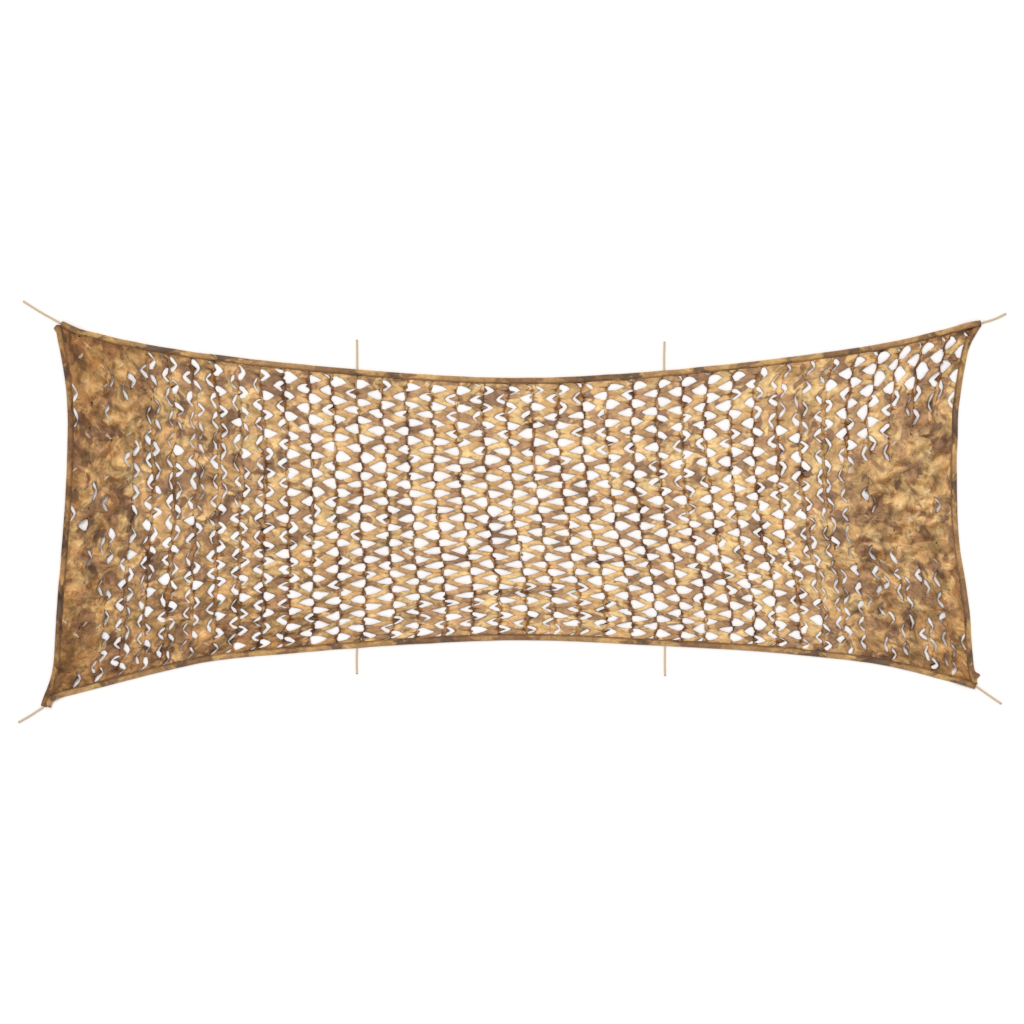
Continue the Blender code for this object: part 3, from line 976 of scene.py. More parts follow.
        stitches = make_piece(f"stitching_{self.edge.value}", np.array(vertices), faces, thread)
        return stitches


# The net


class PanelOutline:
    """The panel's four sides, tucked into the bindings, and how the cloth spreads between them."""

    lean_skew: ClassVar[float] = 1.5

    def __init__(self, bindings: dict[Edge, Binding], tuck: float, lean: float) -> None:
        """Reads the sides off the bindings.

        Args:
            bindings: The four bindings, clockwise.
            tuck: How far the cloth's edge goes into a binding.
            lean: How far the columns lean over, as a share of the length.
        """
        inner = [binding.inner_line(tuck) for binding in bindings.values()]
        crossings = [crossing(inner[i], inner[(i + 1) % 4]) for i in range(4)]
        sides = []
        for i in range(4):
            _, first, start = crossings[i - 1]
            last, _, end = crossings[i]
            sides.append(np.vstack([start, inner[i][first + 1 : last + 1], end]))
        self.top, self.right, self.bottom, self.left = sides
        self.corners = [side[0] for side in sides]
        self.lean = lean

    def place(self, across: np.ndarray, up: np.ndarray) -> np.ndarray:
        """Where points of the cloth lie.

        Args:
            across: Their shares of the length, from the left.
            up: Their shares of the width, from below.

        Returns:
            Their x and y, one point a row.
        """
        lean = self.lean * np.cos(np.pi * up) * np.sin(np.pi * np.clip(across, 0, 1) ** self.lean_skew)
        u, v = (across + lean)[:, None], up[:, None]
        long_edges = on_path(self.bottom, 1 - u[:, 0]) * (1 - v) + on_path(self.top, u[:, 0]) * v
        short_edges = on_path(self.left, up) * (1 - u) + on_path(self.right, 1 - up) * u
        low = self.left[0] * (1 - u) + self.right[-1] * u
        high = self.left[-1] * (1 - u) + self.right[0] * u
        return long_edges + short_edges - low * (1 - v) - high * v


@dataclass
class ClothPoints:
    """The net's points as they are made: their place among the cuts, their height and their masks."""

    column: list[float] = field(default_factory=list)
    row: list[float] = field(default_factory=list)
    height: list[float] = field(default_factory=list)
    crease: list[float] = field(default_factory=list)
    cut: list[float] = field(default_factory=list)

    def add(self, column: float, row: float, height: float, crease: float = 0.0, cut: float = 0.0) -> int:
        """Adds a point.

        Args:
            column: Its place along the net, counted in columns of cuts from the left.
            row: Its place across the net, counted in rows of cuts from below.
            height: Its height over the smooth cloth, in metres.
            crease: How deep it is in a crease, from 0 to 1, which sets the painted shade there.
            cut: How pale a cut edge it is on, above 1 for a painted glint, or 0 inside the cloth.

        Returns:
            Its index.
        """
        given = (column, row, height, crease, cut)
        for values, value in zip((self.column, self.row, self.height, self.crease, self.cut), given):
            values.append(value)
        return len(self.column) - 1


@dataclass(frozen=True)
class Slope:
    """How the cloth falls from a ribbon's crest to a cut edge.

    Its middle is at a share of the way, and its rise is a share of the crest's height. The creases set the
    painted shade at the middle and at the edge, and ragged is how far the edge strays.
    """

    share: float
    rise: float
    creases: Point
    ragged: float


@dataclass
class LeafCutNet:
    """The leaf-cut panel: zigzag ribbons of cloth between upright threads, pulled open by the ties."""

    # The cuts' layout, and how many steps a hole's sides and base are made in.
    columns: int = 38
    rows: int = 16
    row_growth: float = 0.14
    side_steps: int = 5
    base_steps: int = 4
    tuck: float = 6 * MM
    lean: float = 0.014
    selvage: float = 0.12

    # The upright threads: their half width in columns, how they sway and wander, their twist, and the
    # painted shade in their creases.
    thread_half: float = 0.020
    least_thread: float = 0.012
    thread_sway: float = 0.065
    sway_from_edge: float = 2.0
    thread_wander: float = 0.03
    thread_rise: float = 1.6 * MM
    thread_twist: Range = (-0.5, 1.0)
    thread_creases: Range = (0.25, 0.95)
    knot_creases: Range = (0.85, 1.25)
    crease_by_opening: float = 1.8
    crease_when_shut: float = 0.1
    edge_crease: float = 0.6

    # The ribbons: how high their crests stand, and how the cloth falls from them to the cuts, with painted
    # shade along the cut edges.
    ribbon_rise: float = 11 * MM
    shut_rise: float = 2.2 * MM
    rise_power: float = 0.6
    rise_at_ends: float = 0.45
    rise_luck: Range = (0.85, 1.15)
    upper_slope: Slope = Slope(0.5, 0.93, (0.2, 0.78), 1.0)
    lower_slope: Slope = Slope(0.72, 0.97, (0.3, 0.72), 0.6)
    open_rims: Point = (0.60, 0.25)
    shut_rims: Point = (0.9, 0.85)

    # The holes: how far across a column they reach, how high they are in rows, and their outline.
    shut_reach: float = 0.34
    full_reach_at: float = 0.8
    reach_power: float = 1.5
    hole_luck: Range = (0.94, 1.06)
    most_height: float = 0.468
    least_opening: float = 0.02
    most_opening: float = 1.15
    most_spread: float = 0.98
    open_profile: tuple[float, ...] = (0.80, 1.0, 0.86, 0.64, 0.38)
    shut_profile: tuple[float, ...] = (1.0, 0.90, 0.76, 0.58, 0.36)
    white_share_open: float = 0.80
    white_share_shut: float = 0.56
    least_cut: float = 0.32
    cut_spread: float = 0.30
    least_spread: float = 0.05
    even_above: float = 1.25
    edge_hole_share: float = 0.25
    ragged: float = 0.026
    least_ragged: float = 0.25

    # The leaf of cloth that still fills part of a hole, with painted shade in its creases, and the notch at
    # its root.
    leaf_most: float = 0.95
    leaf_gone: float = 0.66
    leaf_middle: float = 0.5
    leaf_curl: float = 4.5 * MM
    curl_luck: Range = (0.4, 1.0)
    curl_at_middle: float = 0.4
    leaf_lift: float = 5 * MM
    shut_lift_power: int = 3
    leaf_ragged: float = 2.3
    leaf_creases: tuple[Point, Point] = ((0.5, 0.35), (0.75, 0.4))
    leaf_tip_height: float = 0.25
    least_gap: float = 0.003
    leaf_slip: float = 1.4
    one_arm_below: float = 0.2
    one_arm_slips: Range = (0.75, 1.0)
    two_arm_slips: Range = (0.0, 0.8)
    notch: float = 0.12
    notch_power: int = 3

    # How dark the painted shade in the creases beside a hole is, and how pale the cut edges of shut ones
    # are, with a painted glint on some.
    thread_shade: float = 0.9
    thread_shade_reach: float = 0.10
    hole_shades: Range = (0.75, 1.3)
    shut_shade: float = 0.3
    glints: float = 0.3
    glint_tones: Range = (1.2, 1.5)
    dull_cut: float = 0.8
    covered_cut: float = 0.5

    # The folds, crumples and gathers under it all, in the openness below which they show and in metres.
    # Columns of the crumples: waves a metre along and across, seed, and share of their rise.
    crumples: tuple[tuple[float, ...], ...] = ((7.0, 4.5, 3.0, 2.0), (21.0, 16.0, 8.0, 2.2))
    crumple_rise: float = 9 * MM
    crumpled_below: float = 0.45
    crumple_when_open: float = 0.1
    fold_share: float = 0.6
    floor_gap: float = 0.6 * MM
    gather_rise: float = 24 * MM
    gather_reach: float = 0.30
    gather_folds: float = 9.0
    gather_length: float = 3.0
    drift: float = 11 * MM
    drift_spacing: float = 150 * MM
    knot_drift: float = 5 * MM
    knot_spacing: float = 45 * MM
    calm_from_edge: float = 1.5
    edge_height: float = 2.8 * MM
    least_rise: float = 0.5 * MM
    most_rise: float = 26 * MM
    cloth_thickness: float = 0.8 * MM

    # Where the cloth is painted darker: painted shade where it is bunched left and right of the middle, by
    # the four hems, and on the sides of folds turned from the key light.
    bunched_below: float = 0.5
    bunching: Point = (0.16, 0.24)
    hem_shade: tuple[float, ...] = (0.45, 0.1, 0.30, 0.4)
    hem_reach: float = 30 * MM
    hem_span: Point = (4.0, 1.3)
    fold_side: Point = (-0.25, 0.5)
    fold_step: float = 8 * MM
    steepest: float = 0.30
    fold_shade: float = 0.74

    flat_cloth: Point = (1.5, 4.0)
    flat_area: float = 4.2
    seed: int = 11

    def __post_init__(self) -> None:
        """Sets up the columns, the random draws, the points and the shared lines of points."""
        self.dice = np.random.default_rng(self.seed)
        self.points = ClothPoints()
        self.faces: list[tuple[int, ...]] = []
        self.walls: list[int] = []
        self.thread_points: dict[tuple[int, int], int] = {}
        self.ribbon_points: dict[tuple[int, int], int] = {}
        self.open_map = np.array(OPENNESS_ROWS).T
        shares, relative_widths, reaches = np.array(COLUMN_ROWS).T
        middles = (np.arange(self.columns) + 0.5) / self.columns
        widths = np.interp(middles, shares, relative_widths)
        self.reaches = np.interp(middles, shares, reaches)
        self.thread_shares = np.concatenate([[0.0], np.cumsum(widths) / widths.sum()])

    def openness(self, column: float, row: float) -> float:
        """How open the net is at a place.

        Args:
            column: The place along the net, in columns of cuts.
            row: The place across it, in rows of cuts.

        Returns:
            Its openness, from 0 to 1.
        """
        shares, *levels = self.open_map
        across = float(np.interp(column, np.arange(self.columns + 1), self.thread_shares))
        at_levels = [float(np.interp(across, shares, level)) for level in levels]
        heights = (np.arange(len(levels)) + 0.5) / len(levels)
        return float(np.interp(self.height_share(row), heights, at_levels)) / MOST_OPEN

    def height_share(self, row: float | np.ndarray) -> float | np.ndarray:
        """How far up the net a row of cuts lies, as a share: the rows grow wider towards the upper edge."""
        share = row / self.rows
        return share + self.row_growth * share * (share - 1)

    def rise(self, opening: float) -> float:
        """How high the ribbons' crests stand where the net is open by that much."""
        return self.shut_rise + (self.ribbon_rise - self.shut_rise) * min(opening, 1.0) ** self.rise_power

    def thread_point(self, thread: int, step: int) -> int:
        """The point of a thread's middle line at a step up from the lower edge, made when first asked for.

        Args:
            thread: The thread's number, from the left.
            step: The step's number, from the lower edge.

        Returns:
            The point's index.
        """
        key = (thread, step)
        if key not in self.thread_points:
            row = step / self.base_steps
            twist = self.dice.uniform(*self.thread_twist) * self.thread_rise
            # Painted shade in the thread's crease, deeper at the knots.
            drawn = self.dice.uniform(*(self.thread_creases if step % 2 else self.knot_creases))
            growth = self.openness(thread, row) * self.crease_by_opening + self.crease_when_shut
            wander = self.dice.uniform(-1, 1) * self.thread_wander
            if thread in (0, self.columns) or step in (0, self.rows * self.base_steps):
                wander = 0.0
            height, crease = self.thread_rise + twist, drawn * min(growth, 1.0)
            self.thread_points[key] = self.points.add(thread + wander, row, height, crease)
        return self.thread_points[key]

    def ribbon_point(self, column: int, step: int) -> int:
        """The point of the crest of a column's zigzag ribbon at a step along it, made when first asked for.

        Args:
            column: The ribbon's column.
            step: The step's number, from the lower edge.

        Returns:
            The point's index.
        """
        half_row, along = divmod(step, self.side_steps)
        if along == 0:
            return self.thread_point(column + half_row % 2, half_row * self.base_steps // 2)
        key = (column, step)
        if key not in self.ribbon_points:
            share = along / self.side_steps
            across = share if half_row % 2 == 0 else 1 - share
            row = (half_row + share) / 2
            arch = self.rise_at_ends + (1 - self.rise_at_ends) * math.sin(math.pi * share)
            height = self.rise(self.openness(column + across, row)) * arch
            height *= self.dice.uniform(*self.rise_luck)
            self.ribbon_points[key] = self.points.add(column + across, row, height)
        return self.ribbon_points[key]

    def edge_point(self, column: int, share: float, row: int) -> int:
        """A point on one of the panel's long edges, made when first asked for.

        Args:
            column: The column it is in.
            share: How far across the column it is.
            row: 0 for the lower edge, or the number of rows for the upper one.

        Returns:
            The point's index.
        """
        if share in (0.0, 1.0):
            return self.thread_point(column + int(share), row * self.base_steps)
        key = (column, -1 - round(share * 100) - 1000 * row)
        if key not in self.ribbon_points:
            # Painted shade along the panel's long edges.
            self.ribbon_points[key] = self.points.add(column + share, row, 0.0, self.edge_crease)
        return self.ribbon_points[key]

    def boundary(self, column: int, half_row: int, pointing: Pointing) -> list[int]:
        """The points round a hole's piece of cloth, from its lower base corner, counterclockwise for a hole
        that points right.

        Args:
            column: The hole's column.
            half_row: Its height, in half rows.
            pointing: Which way it narrows.

        Returns:
            Their indices: the lower ribbon, the upper ribbon and the thread, each without its last point.
        """
        steps, half_base = self.side_steps, self.base_steps // 2
        base = column if pointing is Pointing.RIGHT else column + 1
        low, high = max(half_row - 1, 0), min(half_row + 1, 2 * self.rows)
        lower = [self.ribbon_point(column, low * steps + i) for i in range(steps)]
        upper = [self.ribbon_point(column, half_row * steps + i) for i in range(steps)]
        down = [self.thread_point(base, step) for step in range(high * half_base, low * half_base, -1)]
        if half_row == 0:
            lower = [self.edge_point(column, 1 - i / steps, 0) for i in range(steps)]
        if half_row == 2 * self.rows:
            upper = [self.edge_point(column, i / steps, self.rows) for i in range(steps)]
        return lower + upper + down

    def hole_corners(self, half_row: int, opening: float, open_reach: float) -> list[Point]:
        """A hole's outline: along its reach, and up from its middle in rows, in the boundary's order.

        Args:
            half_row: The hole's height, in half rows, which tells the half holes at the long edges.
            opening: How open it is, from 0 to about 1.
            open_reach: How far across the column it reaches when it is wide open.

        Returns:
            One pair for each of the boundary's points.
        """
        spread = min(opening, self.most_spread)
        drawn = min(spread / self.full_reach_at, 1.0) ** self.reach_power
        reach = self.shut_reach + (open_reach - self.shut_reach) * drawn
        reach *= self.dice.uniform(*self.hole_luck)
        profile = [shut + (wide - shut) * spread for shut, wide in zip(self.shut_profile, self.open_profile)]
        leaf_share = self.leaf_most * max(0.0, 1 - spread / self.leaf_gone)
        white_share = self.white_share_shut + (self.white_share_open - self.white_share_shut) * spread
        area = opening * MOST_OPEN / 100 / 2 / white_share
        whole = area / (1 - leaf_share)
        height = whole / (2 * reach * (sum(profile) - profile[0] / 2) / self.side_steps)
        height = min(height * self.dice.uniform(*self.hole_luck), self.most_height)
        corner = height * profile[0]
        leaf = whole * leaf_share
        gap = max((2 * reach - 2 * leaf / corner) / 3, self.least_gap)
        leaf_side, leaf_tip = reach / 2 - gap, reach - gap
        if leaf_side < 0:
            leaf_side, leaf_tip = 0.0, min(reach / 2, 2 * leaf / corner)
        slips = self.one_arm_slips if spread < self.one_arm_below else self.two_arm_slips
        moved = self.dice.uniform(*slips) * self.leaf_slip * gap * height / reach
        slip = self.dice.choice((-1, 1)) * moved
        low = 0.0 if half_row == 0 else -1.0
        high = 0.0 if half_row == 2 * self.rows else 1.0
        sides = self.side_steps
        corners = [(reach * i / sides, low * height * profile[i]) for i in range(sides)]
        corners += [(reach * i / sides, high * height * (*profile, 0.0)[i]) for i in range(sides, -1, -1)]
        steps = self.base_steps if low and high else self.base_steps // 2
        for i in range(1, steps):
            up = high + (low - high) * i / steps
            notch = self.notch * spread * self.dice.uniform() ** self.notch_power
            root = leaf_tip if abs(up) < self.leaf_tip_height else leaf_side
            corners.append((root + notch, up * corner + slip))
        if not low:
            corners[0] = (leaf_tip, 0.0)
        if not high:
            corners[2 * sides] = (leaf_tip, 0.0)
        return corners

    def draw_opening(self, wanted: float) -> float:
        """Draws how open a hole is.

        Args:
            wanted: How open the net is there on average.

        Returns:
            The hole's own opening. Where the net is nearly shut, some holes are shut and the others gape.
        """
        luck, swing = self.dice.uniform(), self.dice.normal()
        usual, spread = max(wanted, self.least_cut), self.cut_spread
        if wanted > self.least_cut:
            evening = (self.even_above - wanted) / (self.even_above - self.least_cut)
            spread = self.cut_spread * evening + self.least_spread
        opening = usual * math.exp(spread * swing - spread**2 / 2)
        if luck > wanted / self.least_cut:
            return self.least_opening
        return min(max(opening, self.least_opening), self.most_opening)

    def draw_cuts(self, shut: bool) -> tuple[float, float]:
        """Draws how pale a hole's lower and upper cut edges are; on some shut holes one edge gets a painted
        glint.

        Args:
            shut: Whether the hole is shut, so that one edge lies over the other.

        Returns:
            The two edges' values.
        """
        if not shut:
            return 1.0, 1.0
        pale = self.dice.uniform(*self.glint_tones) if self.dice.uniform() < self.glints else self.dull_cut
        return (pale, self.covered_cut) if self.dice.uniform() < 0.5 else (self.covered_cut, pale)

    def add_cell(self, column: int, half_row: int) -> None:
        """Adds one hole and the cloth round it, as rings of faces from the boundary in to the cut edge.

        Args:
            column: The hole's column.
            half_row: Its height, in half rows.
        """
        pointing = Pointing.RIGHT if half_row % 2 else Pointing.LEFT
        heading, base = (1, column) if pointing is Pointing.RIGHT else (-1, column + 1)
        ring = self.boundary(column, half_row, pointing)
        row = half_row / 2
        wanted = self.openness(column + 0.5, row)
        amount = min(wanted, 1.0)
        at_edge = half_row in (0, 2 * self.rows)
        opening = self.draw_opening(wanted * self.edge_hole_share if at_edge else wanted)
        corners = self.hole_corners(half_row, opening, self.reaches[column])
        shut = opening <= self.least_opening
        lift = self.leaf_lift * self.dice.uniform() ** (self.shut_lift_power if shut else 1)
        curl = self.leaf_curl * amount * self.dice.uniform(*self.curl_luck) + lift * (1 - amount)
        rims = self.shut_rims if shut else self.open_rims
        rough = 0.0 if shut else self.ragged * (self.least_ragged + (1 - self.least_ragged) * amount)
        shading = self.shut_shade * amount if shut else self.dice.uniform(*self.hole_shades)
        cuts = self.draw_cuts(shut)
        leaf_rises = (self.thread_rise + curl * self.curl_at_middle, self.thread_rise + curl)
        leaf_creases = [least + more * amount for least, more in self.leaf_creases]
        sides = self.side_steps
        middle, rim = [], []
        for i, (out, up) in enumerate(corners):
            column_0, row_0, height_0 = (
                values[ring[i]] for values in (self.points.column, self.points.row, self.points.height)
            )
            jitter = self.dice.uniform(-1, 1, 2) * rough
            if i > 2 * sides:
                share, rises, creases = self.leaf_middle, leaf_rises, leaf_creases
                jitter = jitter * self.leaf_ragged
            else:
                slope, rim_rise = (self.upper_slope, rims[0]) if i < sides else (self.lower_slope, rims[1])
                share, creases = slope.share, slope.creases
                rises = (height_0 * slope.rise, height_0 * rim_rise)
                jitter = jitter * slope.ragged
            root = base if 0 < i < 2 * sides else column_0
            column_1 = root + heading * max(self.thread_half + out + jitter[0], self.least_thread)
            row_1 = min(max(row + up + jitter[1], self.selvage), self.rows - self.selvage)
            at = (column_0 + (column_1 - column_0) * share, row_0 + (row_1 - row_0) * share)
            # Painted shade near the thread and in the slope's creases.
            by_thread = self.thread_shade * max(0.0, 1 - out / self.thread_shade_reach)
            middle.append(self.points.add(*at, rises[0], max(creases[0], by_thread) * shading))
            # Pale cut edges, with a painted glint on some shut holes.
            cut = cuts[0] if up < 0 else cuts[1]
            rim.append(self.points.add(column_1, row_1, rises[1], max(creases[1], by_thread) * shading, cut))
        for outer, inner in ((ring, middle), (middle, rim)):
            for i in range(len(ring)):
                self.add_face((outer[i - 1], outer[i], inner[i], inner[i - 1]), pointing)
        if shut:
            self.close_slit(rim, pointing)

    def add_face(self, face: tuple[int, ...], pointing: Pointing) -> None:
        """Adds a face, turned over for a hole that points left, so that all of them look up."""
        self.faces.append(face if pointing is Pointing.RIGHT else face[::-1])

    def close_slit(self, rim: list[int], pointing: Pointing) -> None:
        """Closes a hole whose cut edges lie together, with faces from its leaf to the two arms round it.

        Args:
            rim: The points of the cut edge, in the boundary's order.
            pointing: Which way the hole narrows.
        """
        segments = 2 * self.side_steps
        arms, leaf = rim[: segments + 1], rim[:segments:-1]
        chain = [arms[0], *leaf, arms[-1]]
        nearest = [chain[round(i / segments * (len(chain) - 1))] for i in range(segments + 1)]
        for i in range(segments):
            face = tuple(dict.fromkeys((arms[i], arms[i + 1], nearest[i + 1], nearest[i])))
            if len(face) > 2:
                self.walls.append(len(self.faces))
                self.add_face(face, pointing)

    def gathers(self, places: np.ndarray, corners: list[np.ndarray]) -> np.ndarray:
        """The height of the folds that run in from the corners, where the ties pull the cloth together.

        Args:
            places: The points' x and y.
            corners: The net's corners.

        Returns:
            A height for each point, in metres.
        """
        height = np.zeros(len(places))
        for number, corner in enumerate(corners):
            offset = places - corner
            far = np.linalg.norm(offset, axis=1)
            turns = np.arctan2(offset[:, 1], offset[:, 0]) * self.gather_folds
            spots = zip(turns, far * self.gather_length)
            ridges = np.array([abs(noise.noise(Vector((turn, out, number * 9.0)))) for turn, out in spots])
            height += self.gather_rise * ridges * np.exp(-far / self.gather_reach)
        return height

    def ground(self, places: np.ndarray, openness: np.ndarray, corners: list[np.ndarray]) -> np.ndarray:
        """The smooth cloth's height under the cuts' relief: folds, crumples where it is shut, and gathers.

        Args:
            places: The points' x and y.
            openness: How open the net is at each of them.
            corners: The net's corners.

        Returns:
            A height for each point, in metres.
        """
        folds = np.zeros(len(places))
        for row in np.array(FOLD_ROWS, float) * MM:
            start, end, half_width, rise = row[:2], row[2:4], row[4], row[5]
            off = distance_to_line(places, start, end) / half_width
            folds = np.maximum(folds, rise * np.maximum(0.0, 1 - off**2))
        crumples = np.zeros(len(places))
        for along, across, seed, share in self.crumples:
            waves = [abs(noise.noise(Vector((x * along, y * across, seed)))) for x, y in places]
            crumples += np.array(waves) * share * self.crumple_rise
        shut = np.clip(1 - openness / self.crumpled_below, 0, 1)
        crumpled = self.crumple_when_open + (1 - self.crumple_when_open) * shut
        smooth = self.floor_gap + folds * self.fold_share * shut + crumples * crumpled
        return smooth + self.gathers(places, corners)

    def shade(self, places: np.ndarray, openness: np.ndarray, corners: list[np.ndarray]) -> np.ndarray:
        """How much each place lies on the side of a fold turned from the key light, where shade is painted.

        Args:
            places: The points' x and y.
            openness: How open the net is at each of them.
            corners: The net's corners.

        Returns:
            A value from 0 to 1 for each point.
        """
        ahead = np.array(self.fold_side) / math.hypot(*self.fold_side) * self.fold_step
        before = self.ground(places - ahead, openness, corners)
        after = self.ground(places + ahead, openness, corners)
        return np.clip((after - before) / (2 * self.fold_step) / self.steepest, 0, 1)

    def bunched(
        self,
        places: np.ndarray,
        across: np.ndarray,
        up: np.ndarray,
        openness: np.ndarray,
        corners: list[np.ndarray],
    ) -> np.ndarray:
        """How much darker the cloth is painted: painted shade where it is bunched, on the far sides of folds
        and by the hems, and darker round the listed places.

        Args:
            places: The points' x and y.
            across: Their shares of the length, from the left.
            up: Their shares of the width, from below.
            openness: How open the net is at each of them.
            corners: The net's corners.

        Returns:
            A value from 0 to 1 for each point.
        """
        # Painted shade where the net is bunched shut.
        bunched = np.clip(1 - openness / self.bunched_below, 0, 1)
        bunched *= np.where(places[:, 0] < 0, *self.bunching)
        # Painted shade on the sides of folds turned from the key light.
        bunched += self.fold_shade * self.shade(places, openness, corners)
        # Darker round the listed places.
        for x, y, reach, depth in BUNCH_ROWS:
            far = np.linalg.norm(places - np.array([x, y]) * MM, axis=1)
            bunched += depth * np.exp(-far / (reach * MM))
        # Painted shade beside the hems.
        long_span, short_span = self.hem_span
        from_hems = ((1 - up) * short_span, (1 - across) * long_span, up * short_span, across * long_span)
        for dark, distance in zip(self.hem_shade, from_hems):
            bunched += dark * np.exp(-np.abs(distance) / self.hem_reach)
        return np.clip(bunched, 0, 1)

    def build(self, outline: PanelOutline, cloth: bpy.types.Material) -> bpy.types.Object:
        """Makes the net.

        Args:
            outline: The panel's sides.
            cloth: The net's finish.

        Returns:
            The net, which stands for its CAD solid.
        """
        for column in range(self.columns):
            for half_row in range(2 * self.rows + 1):
                self.add_cell(column, half_row)
        points = self.points
        column, row = np.array(points.column), np.array(points.row)
        inside = np.clip(np.minimum.reduce([column, self.columns - column, row, self.rows - row]), 0, 1)
        sway = self.thread_sway * np.cos(math.tau * row) * np.clip(inside * self.sway_from_edge, 0, 1)
        across = np.interp(column + sway, np.arange(self.columns + 1), self.thread_shares)
        up = self.height_share(row)
        places = outline.place(across, up)
        openness = np.array([self.openness(c, r) for c, r in zip(column, row)])
        # Blender starts noise_vector's offsets from the clock unless they are given a seed.
        noise.seed_set(self.seed)
        for reach, spacing in ((self.drift, self.drift_spacing), (self.knot_drift, self.knot_spacing)):
            moves = np.array([noise.noise_vector(Vector((x, y, 0.0)) / spacing)[:2] for x, y in places])
            places = places + moves * reach * inside[:, None]
        calm = np.clip(inside * self.calm_from_edge, 0, 1)
        relief = self.ground(places, openness, outline.corners) + np.array(points.height)
        height = np.clip(self.edge_height * (1 - calm) + relief * calm, self.least_rise, self.most_rise)
        width, length = self.flat_cloth
        cloth_map = np.stack([column / self.columns * length, row / self.rows * width], 1)
        # The crease mask paints shade, the cut-edge mask pale edges and glints, and the darkening mask shade
        # and darker places.
        masks = {
            CREASE_SHADE_MASK: np.array(points.crease),
            CUT_EDGE_AND_GLINT_MASK: np.array(points.cut),
            DARKENING_MASK: self.bunched(places, across, up, openness, outline.corners),
        }
        vertices = np.column_stack([places, height])
        net = make_piece("leaf_cut_net", vertices, self.faces, cloth, masks, cloth_map, tuple(self.walls))
        thicken(net, self.cloth_thickness)
        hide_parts("net_panel")
        return net


# The ties


@dataclass
class TieCord:
    """A braided cord that comes out of a binding and lies straight out from the net."""

    name: str
    route: tuple[Point, ...]
    diameter: float = 9 * MM
    sides: int = 16
    step: float = 1.5 * MM
    route_step: float = 20 * MM
    braid_depth: float = 0.07
    braid_pitch: float = 15 * MM
    strands: int = 4
    sealed: float = 7 * MM
    swelling: float = 0.10
    rounding: float = 0.6
    least_tip: float = 0.05
    off_floor: float = 0.1 * MM

    def girth(self, to_end: float, melted: float) -> float:
        """How thick the cord is at a place, as a share: it swells where it is melted and ends round.

        Args:
            to_end: How far the place is from the cord's end.
            melted: How melted the cord is there, from 0 to 1.

        Returns:
            The share of its usual radius.
        """
        tip = self.diameter / 2 * self.rounding
        girth = 1.0 + self.swelling * math.sin(math.pi * melted)
        if to_end < tip:
            girth *= math.sqrt(max(self.least_tip, 1 - (1 - to_end / tip) ** 2))
        return girth

    def build(self, braid: bpy.types.Material) -> bpy.types.Object:
        """Makes the cord, with its braid raised and its free end melted round.

        Args:
            braid: The cord's finish.

        Returns:
            The cord, which stands for its CAD solid.
        """
        route = smooth_path(np.array(self.route) * MM, self.route_step)
        length = lengths_along(route)[-1]
        count = int(length / self.step)
        path = on_path(route, np.linspace(0, 1, count + 1))
        normals = left_normals(path)
        radius, sides, half_strands = self.diameter / 2, self.sides, self.strands / 2
        vertices, sunk, seal = [], [], []
        for i, distance in enumerate(lengths_along(path)):
            melted = ease(1 - (length - distance) / self.sealed)
            girth = self.girth(length - distance, melted)
            twist = math.tau * distance / self.braid_pitch
            for turn in math.tau * np.arange(sides) / sides:
                lay = math.sin(half_strands * turn + twist) * math.sin(half_strands * turn - twist)
                sunken = (0.5 - 0.5 * lay) * (1 - melted)
                reach = radius * (1 - self.braid_depth * sunken) * girth
                side = normals[i] * reach * math.cos(turn)
                vertices.append((*(path[i] + side), max(radius + reach * math.sin(turn), self.off_floor)))
                sunk.append(sunken)
                seal.append(melted)
        faces = []
        for a in range(0, count * sides, sides):
            for k in range(sides):
                j = (k + 1) % sides
                faces.append((a + k, a + j, a + j + sides, a + k + sides))
        faces.append(tuple(reversed(range(sides))))
        faces.append(tuple(count * sides + k for k in range(sides)))
        # The sunk values paint shade in the braid's grooves.
        masks = {CREASE_SHADE_MASK: np.array(sunk), SEAL_MASK: np.array(seal)}
        cord = make_piece(f"cord_{self.name}", np.array(vertices), faces, braid, masks)
        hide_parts(f"tie_{self.name}")
        return cord


# The studio


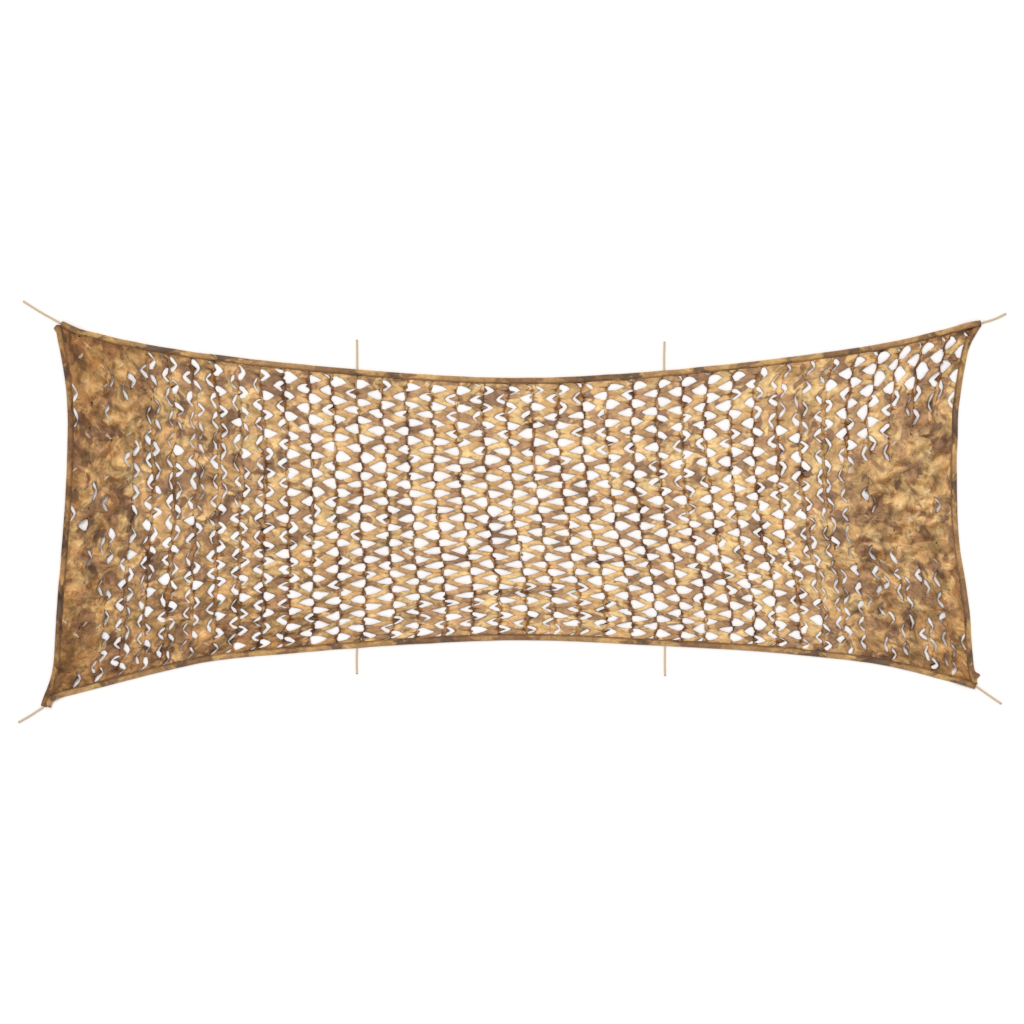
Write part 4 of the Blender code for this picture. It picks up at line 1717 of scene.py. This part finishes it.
@dataclass
class Studio:
    """A pale floor, soft light from above the net's upper edge, and a camera straight above."""

    lens: float = 110.0
    view_depth: float = 100.0
    floor_size: float = 80.0
    floor_colour: Colour = (0.91, 0.877, 0.864)
    floor_roughness: float = 0.9
    key_energy: float = 1.35
    key_spread: float = math.radians(28)
    key_direction: tuple[float, float, float] = (0.25, -0.5, -1.0)
    fill_energy: float = 0.80

    def build(self) -> None:
        """Makes the floor, the lights and the camera."""
        self.add_floor()
        self.add_lights()
        self.add_camera()

    def add_floor(self) -> None:
        """Makes the plain floor under the net."""
        half = self.floor_size / 2
        corners = [(-half, -half, 0), (half, -half, 0), (half, half, 0), (-half, half, 0)]
        mesh = bpy.data.meshes.new("floor")
        mesh.from_pydata(corners, [], [(0, 1, 2, 3)])
        material, _, shader = principled("pale_floor", self.floor_roughness, 0.0)
        shader.inputs["Base Color"].default_value = opaque(self.floor_colour)
        mesh.materials.append(material)
        floor = bpy.data.objects.new("floor", mesh)
        bpy.context.scene.collection.objects.link(floor)

    def add_lights(self) -> None:
        """Makes the soft key light and the even light all round."""
        data = bpy.data.lights.new("key", "SUN")
        data.energy = self.key_energy
        data.angle = self.key_spread
        key = bpy.data.objects.new("key", data)
        key.rotation_euler = Vector(self.key_direction).to_track_quat("-Z", "Y").to_euler()
        bpy.context.scene.collection.objects.link(key)
        world = bpy.data.worlds.new("studio")
        world.use_nodes = True
        background = world.node_tree.nodes["Background"]
        background.inputs["Color"].default_value = opaque((1.0, 1.0, 1.0))
        background.inputs["Strength"].default_value = self.fill_energy
        bpy.context.scene.world = world
        bpy.context.scene.view_settings.view_transform = "Standard"

    def add_camera(self) -> None:
        """Makes the camera, straight above the net, at the distance that fits the picture's width."""
        data = bpy.data.cameras.new("camera")
        data.lens = self.lens
        data.clip_end = self.view_depth
        camera = bpy.data.objects.new("camera", data)
        camera.location = (*VIEW_CENTRE, PICTURE_PIXELS * PIXEL * self.lens / data.sensor_width)
        bpy.context.scene.collection.objects.link(camera)
        bpy.context.scene.camera = camera


def main() -> None:
    """Builds the studio, the cords, the bindings and the net."""
    logging.basicConfig(level=logging.INFO, format="%(message)s")
    Studio().build()
    effects = SharedEffects()
    braid = BraidedCord().material()
    for name, *route in TIE_ROWS:
        TieCord(name, tuple(route)).build(braid)
    strip_dyes = PrintColours(
        tan=(0.39, 0.223, 0.094),
        sand=(0.535, 0.33, 0.124),
        brown=(0.235, 0.125, 0.058),
        umber=(0.14, 0.085, 0.052),
    )
    strip_cloth = PrintedCloth(
        "binding_strip_cloth",
        blotches=11.0,
        offset=(5.0, 3.0),
        stretch=(0.6, 1.2),
        colours=strip_dyes,
        crease_shade=(0.46, 0.33, 0.22),
        depth=(0.55, 0.47, 0.41),
        wrinkle_depth=2 * MM,
    ).material(effects)
    thread = SewingThread().material()
    bindings = {edge: Binding(edge, worn=STRIP_DARKENING[edge], seed=7.0 * i) for i, edge in enumerate(Edge)}
    for binding in bindings.values():
        strip = binding.build(strip_cloth)
        stitches = binding.stitch(thread)
    net_cloth = PrintedCloth("printed_net_cloth", blotches=8.0, offset=(0.0, 0.0)).material(effects)
    panel = LeafCutNet()
    net = panel.build(PanelOutline(bindings, panel.tuck, panel.lean), net_cloth)


if __name__ == "__main__":
    main()
